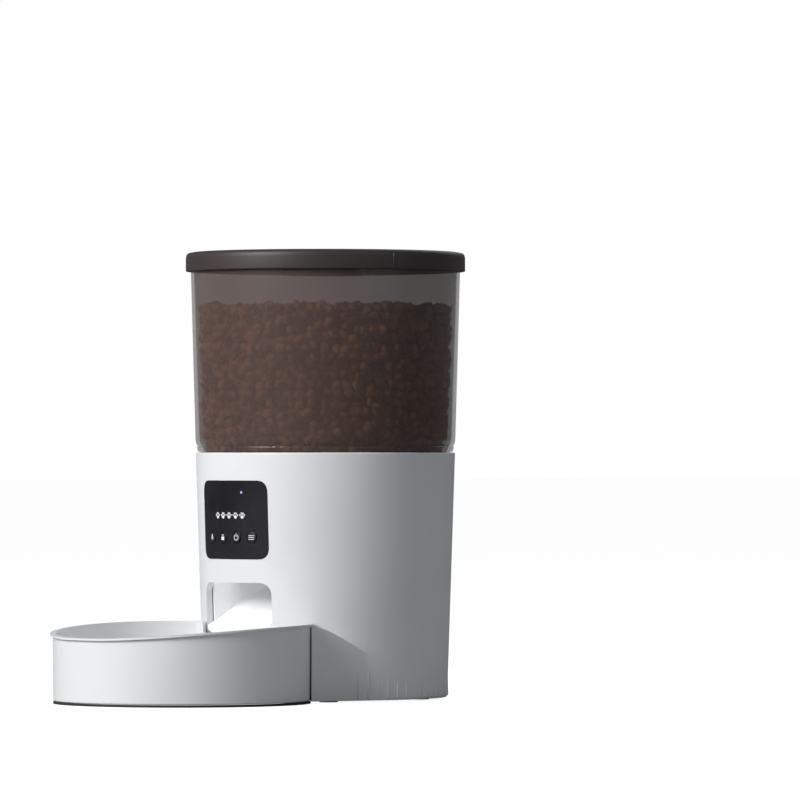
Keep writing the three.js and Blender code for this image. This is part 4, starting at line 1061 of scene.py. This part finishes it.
class FEEDER_OT_lid(bpy.types.Operator):
    """Builds the flat lid with its skirt, plug ring and rim mark"""

    bl_idname = "feeder.lid"
    bl_label = "Lid"

    def execute(self, context):
        top, skirt = LID_HIGH[2], LID_LOW[2]
        rim = HOPPER_HIGH[2]
        low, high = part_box("lid_seal")
        seal_z = (low[2] + high[2]) / 2
        plug = high[0] - 1.2 * MM
        radius = LID_RADIUS
        skirt = rim - 4.5 * MM
        lid = turned("lid_skin", [
            (0, top),
            (radius - 6 * MM, top, 3 * MM),
            (radius - 1.2 * MM, top - 0.9 * MM, 1.2 * MM),
            (radius, top - 3.2 * MM, 1.6 * MM),
            (radius, skirt, 0.7 * MM),
            (radius - 2.4 * MM, skirt),
            (radius - 2.4 * MM, rim + MM),
            (plug, rim + MM),
            (plug, seal_z + 1.4 * MM),
            (plug - 1.6 * MM, seal_z + 1.4 * MM),
            (plug - 1.6 * MM, seal_z - 1.4 * MM),
            (plug, seal_z - 1.4 * MM),
            (plug, rim - 5 * MM),
            (plug - 3.6 * MM, rim - 5 * MM),
            (plug - 3.6 * MM, top - 3 * MM, 2 * MM),
            (0, top - 3 * MM),
        ], steps=180, round_by=0.35 * MM, closed=False)
        smooth(lid)
        finish(lid, material("lid"), "lid", "lid_grey", "lid")
        finish(self.mark(radius, top, skirt), material("lid"), "lid", "lid_grey")
        seal = turned("lid_seal_ring", [
            (plug - 1.3 * MM, seal_z - 1.1 * MM),
            (high[0] - 0.5 * MM, seal_z - 1.1 * MM),
            (high[0], seal_z),
            (high[0] - 0.5 * MM, seal_z + 1.1 * MM),
            (plug - 1.3 * MM, seal_z + 1.1 * MM),
        ], round_by=0.3 * MM)
        smooth(seal, 50)
        finish(seal, material("silicone"), "lid", "silicone", "lid_seal")
        return {"FINISHED"}

    def mark(self, radius, top, skirt):
        """A fine upright bead on the rim that shows where the lid lines up."""
        clear_selection()
        height = top - skirt - 3.6 * MM
        bpy.ops.mesh.primitive_cylinder_add(vertices=12, radius=0.45 * MM, depth=height,
                                            location=(0, AXIS.y - radius, skirt + 0.6 * MM + height / 2))
        bead = bpy.context.object
        bead.name = "lid_mark"
        settle(bead)
        edge_bevel(bead, 0.15 * MM)
        smooth(bead, 50)
        return turn_about_axis(bead, math.radians(77))


class FEEDER_OT_tray(bpy.types.Operator):
    """Builds the food tray with its rising rim, outward lip and dished floor"""

    bl_idname = "feeder.tray"
    bl_label = "Food tray"

    def execute(self, context):
        size = context.scene.feeder_tray
        radius = TRAY_RADIUS - size.lip + 0.3 * MM
        foot = radius - 0.5 * MM
        low, high = TRAY_LOW[2], TRAY_HIGH[2] + 2 * MM
        tray = self.round("tray_skin", [(0, low), (foot, low, 1.2 * MM), (radius, high), (0, high)])
        rim_low = size.front - size.lip_height - 2 * MM
        lip = self.round("lip", [(0, rim_low), (TRAY_RADIUS, rim_low), (TRAY_RADIUS, high), (0, high)])
        carve(lip, self.above_rim(size, size.lip_height), "INTERSECT")
        carve(tray, lip, "UNION")
        carve(tray, self.above_rim(size, 0))
        back = body_radius(TRAY_HIGH[2]) + 0.8 * MM
        carve(tray, self.standing("back_room", back, -MM, high + MM))
        bowl = self.round("bowl", [
            (0, size.floor), (foot - size.wall, size.floor, 9 * MM), (radius - size.wall, high + MM),
            (0, high + MM),
        ])
        carve(bowl, self.standing("back_wall", back + size.wall, -MM, high + 2 * MM))
        carve(tray, bowl)
        carve(tray, self.chute_notch(back))
        inset = size.wall + 0.3 * MM
        under = self.round("under", [
            (0, -MM), (foot - inset, -MM),
            (foot - inset, size.floor - size.wall), (0, size.floor - size.wall),
        ])
        carve(under, self.standing("back_wall", back + inset, -2 * MM, high))
        carve(tray, under)
        edge_bevel(tray, 0.4 * MM, 3, 45)
        smooth(tray, weighted=True)
        finish(tray, material("tray"), "tray", "tray_white", "food_tray")
        self.ring(foot, back)
        return {"FINISHED"}

    def chute_notch(self, back):
        """The chute's lip passes over the tray's back wall here."""
        half, low = CHUTE_HIGH[0] + 1.5 * MM, OUTLET_FOOT + 0.3 * MM
        high = TRAY_HIGH[2] + 3 * MM
        outline = softened([(-half, low), (half, low), (half, high, 0), (-half, high, 0)], 4 * MM, 6)
        y = AXIS.y - back - 6 * MM
        return extruded("notch", [Vector((x, y, z)) for x, z in outline], (0, 60 * MM, 0))

    def ring(self, foot, back):
        """The soft dark rubber ring that the tray stands on. Its dark band along the tray's foot is partly
        painted shade, standing in for the contact shadow there.
        """
        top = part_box("tray_ring")[1][2]
        width = 5 * MM
        ring = self.round("tray_ring_skin", [(0, 0), (foot, 0), (foot, top), (0, top)])
        carve(ring, self.standing("room", back, -MM, 3 * MM))
        room = self.round("ring_room", [(0, -MM), (foot - width, -MM), (foot - width, 3 * MM), (0, 3 * MM)])
        carve(room, self.standing("room", back + width, -2 * MM, 4 * MM))
        carve(ring, room)
        edge_bevel(ring, 0.25 * MM)
        smooth(ring, 50)
        finish(ring, material("rubber"), "tray", "rubber", "tray_ring")

    def round(self, name, profile):
        return turned(name, profile, closed=False, round_by=0, centre=TRAY_CENTRE, steps=192)

    def standing(self, name, radius, low, high):
        return turned(name, [(0, low), (radius, low), (radius, high), (0, high)],
                      closed=False, round_by=0, steps=192)

    def above_rim(self, size, drop):
        """All above the rim, which rises in one shallow curve from front to back."""
        front = TRAY_LOW[1] + size.lip
        back = TRAY_CENTRE.y + 58 * MM
        low, high = size.front - drop, TRAY_HIGH[2] - drop
        edge = [(front - 20 * MM, low)]
        for k in range(33):
            t = k / 32
            y = front + (back - front) * t
            edge.append((y, high - (high - low) * (1 - t) ** 2))
        edge += [(AXIS.y, high), (AXIS.y, high + 30 * MM), (front - 20 * MM, high + 30 * MM)]
        width = TRAY_RADIUS + 10 * MM
        return extruded("above_rim", [Vector((-width, y, z)) for y, z in edge], (2 * width, 0, 0))


class FEEDER_OT_chute(bpy.types.Operator):
    """Builds the chute that leads food through the outlet and over the tray"""

    bl_idname = "feeder.chute"
    bl_label = "Chute"

    def execute(self, context):
        half, top = CHUTE_HIGH[0], CHUTE_HIGH[2]
        wall, drop = 1.8 * MM, 2.2 * MM
        line = self.floor_line()
        lower = [(y, z - drop) for y, z in reversed(line)]
        slab = [Vector((-half, y, z)) for y, z in [*line, *lower]]
        chute = extruded("chute_skin", slab, (2 * half, 0, 0))
        carve(chute, self.front(half), "INTERSECT")
        face = AXIS.y - body_radius(OUTLET_FOOT)
        outline = [(y, z - MM) for y, z in line] + [(face, top), (line[0][0], top)]
        for x in (-half, half - wall):
            side = extruded("side", [Vector((x, y, z)) for y, z in outline], (wall, 0, 0))
            carve(side, self.behind_collar(), "INTERSECT")
            carve(chute, side, "UNION")
        back_y, back_z = line[0]
        carve(chute, self.block(half, back_y, back_y + wall, back_z - 3 * MM, top), "UNION")
        roof = self.block(half, AXIS.y - body_radius(top), AXIS.y - 56.5 * MM, top - 1.6 * MM, top)
        carve(roof, self.behind_collar(), "INTERSECT")
        carve(chute, roof, "UNION")
        edge_bevel(chute, 0.35 * MM, 2, 45)
        smooth(chute, 40, weighted=True)
        # The chute's material glows: painted light inside the outlet.
        finish(chute, material("chute"), "base", "white_shell", "chute")
        return {"FINISHED"}

    def floor_line(self):
        """Floor of the chute as (y, z), from the back wall to the lip."""
        back = CHUTE_HIGH[1] - 1.8 * MM
        face = AXIS.y - body_radius(OUTLET_FOOT)
        corners = [
            (back, OUTLET_FOOT + 35.8 * MM, 0),
            (face + 36 * MM, OUTLET_FOOT + 23.7 * MM, 6 * MM),
            (face + 7 * MM, OUTLET_FOOT + 6.1 * MM, 9 * MM),
            (CHUTE_LOW[1], OUTLET_FOOT + 3.3 * MM, 0),
        ]
        return [(p[0], p[1]) for p in softened(corners, 0, 8, closed=False)]

    def front(self, half):
        """The floor ends in one arc from side to side of the outlet, out over the tray."""
        face = body_radius(OUTLET_FOOT)
        side = math.sqrt((face - 0.3 * MM) ** 2 - half ** 2)
        reach = AXIS.y - CHUTE_LOW[1]
        rise = reach - side
        radius = (half ** 2 + rise ** 2) / (2 * rise)
        centre = Vector((0, AXIS.y - reach + radius, 0))
        front = turned("front", [(0, 0), (radius, 0), (radius, SEAM), (0, SEAM)],
                       closed=False, round_by=0, centre=centre)
        carve(front, self.block(face, AXIS.y - side, AXIS.y, 0, SEAM), "UNION")
        return front

    def block(self, half, y0, y1, z0, z1):
        corners = ((-half, y0), (half, y0), (half, y1), (-half, y1))
        points = [Vector((x, y, z0)) for x, y in corners]
        return extruded("block", points, (0, 0, z1 - z0))

    def behind_collar(self):
        inset = 5.5 * MM
        return turned("inside", [
            (0, 0), (body_radius(0) - inset, 0), (body_radius(SEAM) - inset, SEAM), (0, SEAM),
        ], closed=False, round_by=0)


class FEEDER_OT_food(bpy.types.Operator):
    """Fills the hopper with dry food: loose kibbles against the wall and on top, round a solid heart"""

    bl_idname = "feeder.food"
    bl_label = "Dry food"

    def execute(self, context):
        food = context.scene.feeder_food
        hopper = context.scene.feeder_hopper
        heart = self.heart(food)
        smooth(heart, 60)
        finish(heart, material("food"), "hopper", "smoke_clear")
        kibbles = self.kibbles(food, hopper)
        smooth(kibbles, 60)
        finish(kibbles, material("food"), "hopper", "smoke_clear")
        return {"FINISHED"}

    def inner_radius(self, z):
        """Inside radius of the hopper above its shoulder."""
        hopper = bpy.context.scene.feeder_hopper
        shoulder_r, rim_r = FEEDER_OT_hopper.radii(hopper)
        share = max(0, (z - SEAM - hopper.shoulder) / (HOPPER_HIGH[2] - SEAM - hopper.shoulder))
        if z < SEAM + hopper.shoulder:
            return shoulder_r - hopper.wall - 3.6 * MM
        return shoulder_r - hopper.wall - 0.6 * MM + (rim_r - shoulder_r + 0.6 * MM) * share

    def heart(self, food):
        low = HOPPER_LOW[2] + 17 * MM
        wall = self.inner_radius(SEAM) - 8 * MM
        top = food.top - 8 * MM
        return turned("food_heart", [
            (0, low), (40 * MM, low, 3 * MM), (wall - 2 * MM, SEAM - 8 * MM, 4 * MM),
            (wall, SEAM + 6 * MM, 3 * MM), (self.inner_radius(top) - 9 * MM, top - 3 * MM, 4 * MM),
            (30 * MM, top + MM, 8 * MM), (0, top + 2 * MM),
        ], steps=64, closed=False)

    def one_kibble(self, food):
        clear_selection()
        bpy.ops.mesh.primitive_uv_sphere_add(segments=8, ring_count=5, radius=food.size / 2)
        kibble = bpy.context.object
        kibble.scale = (1, 0.86, 0.56)
        settle(kibble)
        return kibble

    def places(self, food, rng):
        """Centres of the kibbles: two rings deep along the wall and two over the top."""
        gap = food.size * 0.80
        half = food.size / 2
        spots = []
        z = SEAM - 6 * MM
        while z < food.top - 2 * MM:
            for layer in (0, 1):
                reach = self.inner_radius(z) - half - 0.5 * MM - layer * gap * 0.9
                count = int(2 * math.pi * reach / gap)
                for k in range(count):
                    azimuth = 2 * math.pi * (k + 0.5 * layer + rng.uniform(-0.35, 0.35)) / count
                    drift = rng.uniform(-0.3, 0.3) * gap
                    spots.append(around(reach - rng.uniform(0, 0.15) * gap, azimuth, z + drift))
            z += gap * 0.86
        for layer in (0, 1):
            reach = gap * 0.6
            while reach < self.inner_radius(food.top) - half - 2 * gap:
                count = max(3, int(2 * math.pi * reach / gap))
                for k in range(count):
                    azimuth = 2 * math.pi * (k + rng.uniform(-0.4, 0.4)) / count
                    lift = rng.uniform(-0.35, 0.25) * gap
                    spots.append(around(reach, azimuth, food.top - half - layer * gap * 0.5 + lift))
                reach += gap * 0.88
        return spots

    def kibbles(self, food, hopper):
        rng = random.Random(food.seed)
        pattern = self.one_kibble(food)
        copies = []
        for spot in self.places(food, rng):
            copy = pattern.copy()
            copy.data = pattern.data.copy()
            bpy.context.collection.objects.link(copy)
            turn = Matrix.Rotation(rng.uniform(0, 2 * math.pi), 4, "Z")
            turn @= Matrix.Rotation(rng.uniform(0, 2 * math.pi), 4, "X")
            turn @= Matrix.Rotation(rng.uniform(0, 2 * math.pi), 4, "Y")
            copy.matrix_world = Matrix.Translation(spot) @ turn @ Matrix.Scale(rng.uniform(0.82, 1.0), 4)
            copies.append(copy)
        bpy.data.objects.remove(pattern)
        kibbles = joined(*copies)
        kibbles.name = "food_kibbles"
        settle(kibbles)
        return kibbles


# ---- Panel in the sidebar, and the run ----


STEPS = [
    FEEDER_OT_studio,
    FEEDER_OT_frame_finishes,
    FEEDER_OT_base,
    FEEDER_OT_panel,
    FEEDER_OT_keys,
    FEEDER_OT_chute,
    FEEDER_OT_hopper,
    FEEDER_OT_food,
    FEEDER_OT_lid,
    FEEDER_OT_tray,
]


class FEEDER_PT_sidebar(bpy.types.Panel):
    """Lists the feeder's sizes and the steps that build it"""

    bl_label = "Pet Feeder"
    bl_idname = "FEEDER_PT_sidebar"
    bl_space_type = "VIEW_3D"
    bl_region_type = "UI"
    bl_category = "Feeder"

    def draw(self, context):
        layout = self.layout
        for name in GROUPS:
            group = getattr(context.scene, name)
            box = layout.box()
            box.label(text=name.replace("_", " ").title())
            for key in group.__annotations__:
                box.prop(group, key)
        for step in STEPS:
            layout.operator(step.bl_idname)


CLASSES = [*GROUPS.values(), *STEPS, FEEDER_PT_sidebar]


def register():
    for cls in CLASSES:
        bpy.utils.register_class(cls)
    for name, group in GROUPS.items():
        setattr(bpy.types.Scene, name, PointerProperty(type=group))


def unregister():
    for name in GROUPS:
        delattr(bpy.types.Scene, name)
    for cls in reversed(CLASSES):
        bpy.utils.unregister_class(cls)


def main():
    register()
    for step in STEPS:
        group, name = step.bl_idname.split(".")
        getattr(getattr(bpy.ops, group), name)()


if __name__ == "__main__":
    main()
